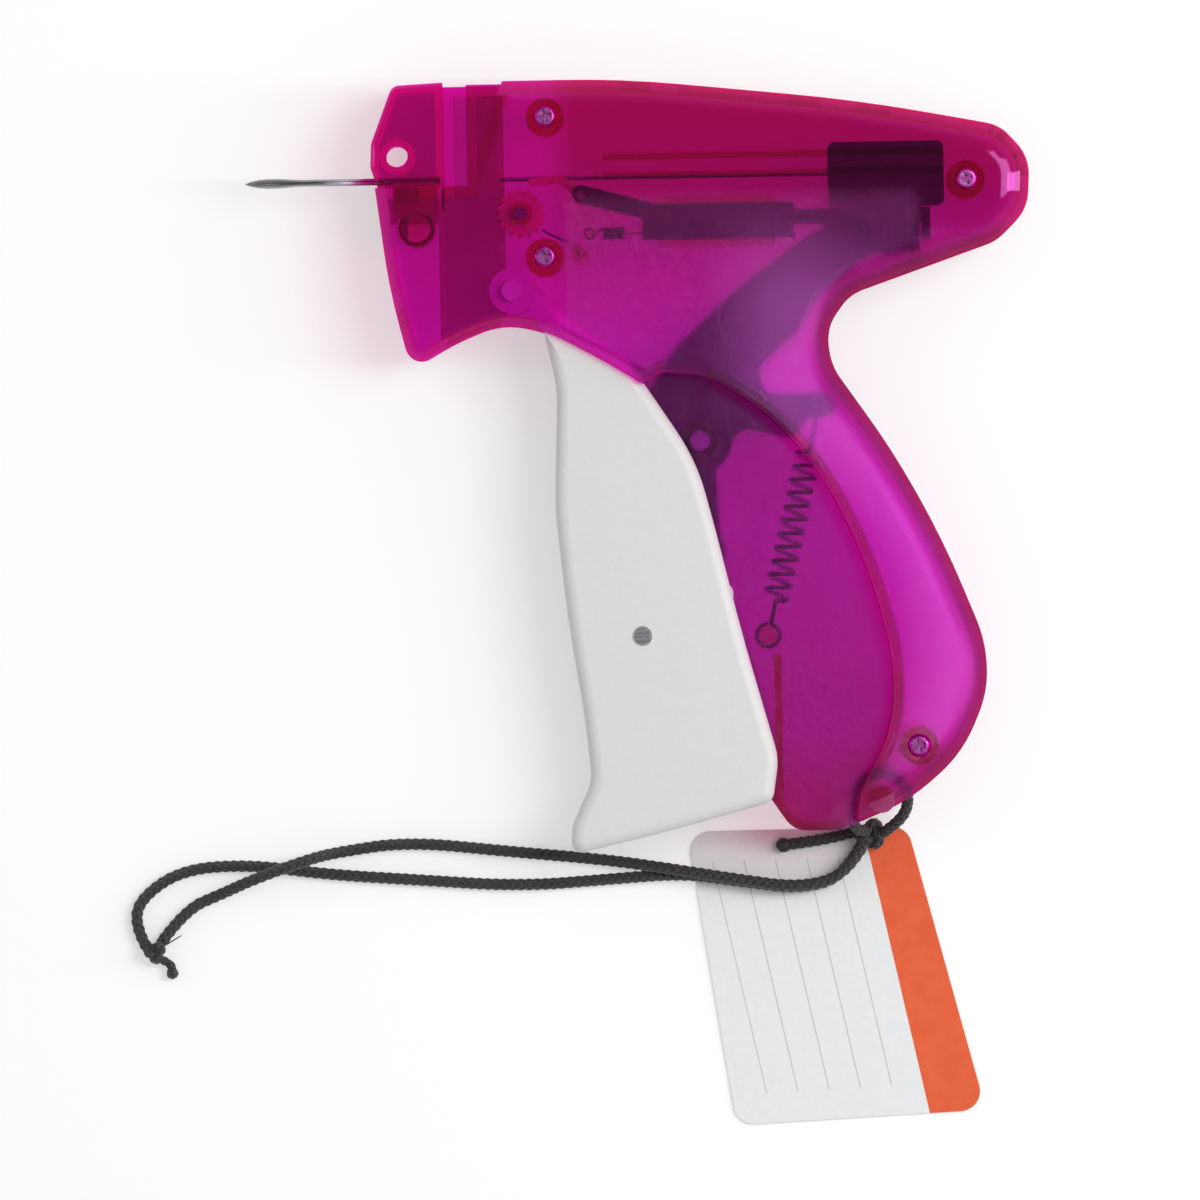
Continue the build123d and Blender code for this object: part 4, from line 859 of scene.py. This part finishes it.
for along, half_height, half_depth, bore, slot in NEEDLE_PROFILE:
    angles = [
        math.pi / 2 + slot + k / SECTION_POINTS * 2 * (math.pi - slot) for k in range(SECTION_POINTS + 1)
    ]
    ring = []
    for share, order in ((1.0, 1), (bore, -1)):
        for angle in angles[::order]:
            ring.append(shape.verts.new((
                along, NEEDLE_MIDDLE[0] + half_height * share * math.cos(angle),
                NEEDLE_MIDDLE[1] + half_depth * share * math.sin(angle),
            )))
    rings.append(ring)
for fore, aft in zip(rings, rings[1:]):
    for k in range(len(fore)):
        following = (k + 1) % len(fore)
        shape.faces.new((fore[k], fore[following], aft[following], aft[k]))
for ring, order in ((rings[0], 1), (rings[-1], -1)):
    for k in range(SECTION_POINTS):
        quad = [ring[k], ring[k + 1], ring[2 * SECTION_POINTS - k], ring[2 * SECTION_POINTS + 1 - k]]
        shape.faces.new(quad[::order])
needle_steel = plain_finish(
    "needle_steel", [(0.28, 0.28, 0.295), (0.46, 0.46, 0.48)], (0.22, 0.38), 900.0, 0.00001,
    {"Metallic": 1.0}, stretch=(0.06, 1.0, 1.0),
)
needle = piece_from("lance_needle", shape, needle_steel, "housing")
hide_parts("needle")

# The screws' colour is painted reflection: violet from the magenta round them, with paler painted glints.
zinc_with_painted_reflection = plain_finish(
    "zinc_with_painted_reflection", [(0.34, 0.030, 0.24), (0.78, 0.22, 0.70)], (0.18, 0.40), 900.0, 0.00002,
    {"Metallic": 1.0},
)
finish_node("housing_screws", zinc_with_painted_reflection)

# ---- the springs --------------------------------------------------------------------------------------
# Music wire, oiled dark, wound close; the detent spring is a strip of the same steel. The feed spring is
# in two pieces: the hook on the feed bar slides into the coil on the housing as the bar moves.
spring_wire = plain_finish(
    "spring_wire", [(0.05, 0.05, 0.055), (0.12, 0.12, 0.13)], (0.28, 0.42), 1200.0, 0.00001,
    {"Metallic": 1.0},
)
for node in ("return_spring", "detent_spring"):
    finish_node(node, spring_wire)

FEED_PEG = Vector((-0.00950, 0.04624, 0.02145))
FEED_STUD = Vector((0.00250, 0.04624, 0.02145))
FEED_WIRE = 0.00018         # half of its thickness
WIRE_FACES = 8
FEED_EYE = 0.00104          # radius to the middle of the wire, as is the coil's
FEED_COIL = 0.00110
FEED_TURNS = 9
COIL_FROM_PEG = 0.0026
COIL_FROM_STUD = 0.0052
HOOK_REACH = 0.0056         # from the stud to the end that lies in the coil
TURN_POINTS = 20


def eye_ring(centre, facing):
    """Points of a wire eye round a peg, ending on the side that faces along the spring."""
    return [
        centre + Vector((
            facing * FEED_EYE * math.cos(2 * math.pi * k / TURN_POINTS),
            FEED_EYE * math.sin(2 * math.pi * k / TURN_POINTS), 0.0,
        ))
        for k in range(1, TURN_POINTS + 1)
    ]


coil_start = FEED_PEG + Vector((COIL_FROM_PEG, 0.0, 0.0))
coil_length = (FEED_STUD - FEED_PEG).x - COIL_FROM_PEG - COIL_FROM_STUD
coil_points = eye_ring(FEED_PEG, 1.0)
for k in range(FEED_TURNS * TURN_POINTS + 1):
    angle = 2 * math.pi * k / TURN_POINTS
    along = coil_length * k / (FEED_TURNS * TURN_POINTS)
    place = Vector((along, FEED_COIL * math.cos(angle), FEED_COIL * math.sin(angle)))
    coil_points.append(coil_start + place)
shape = bmesh.new()
tube(shape, coil_points, FEED_WIRE, FEED_WIRE, WIRE_FACES)
feed_coil = piece_from("feed_spring_coil", shape, spring_wire, "housing")
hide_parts("feed_spring")

hook_points = eye_ring(FEED_STUD, -1.0) + [FEED_STUD - Vector((HOOK_REACH, 0.0, 0.0))]
shape = bmesh.new()
tube(shape, hook_points, FEED_WIRE, FEED_WIRE, WIRE_FACES)
piece_from("feed_spring_hook", shape, spring_wire, "feed_bar")
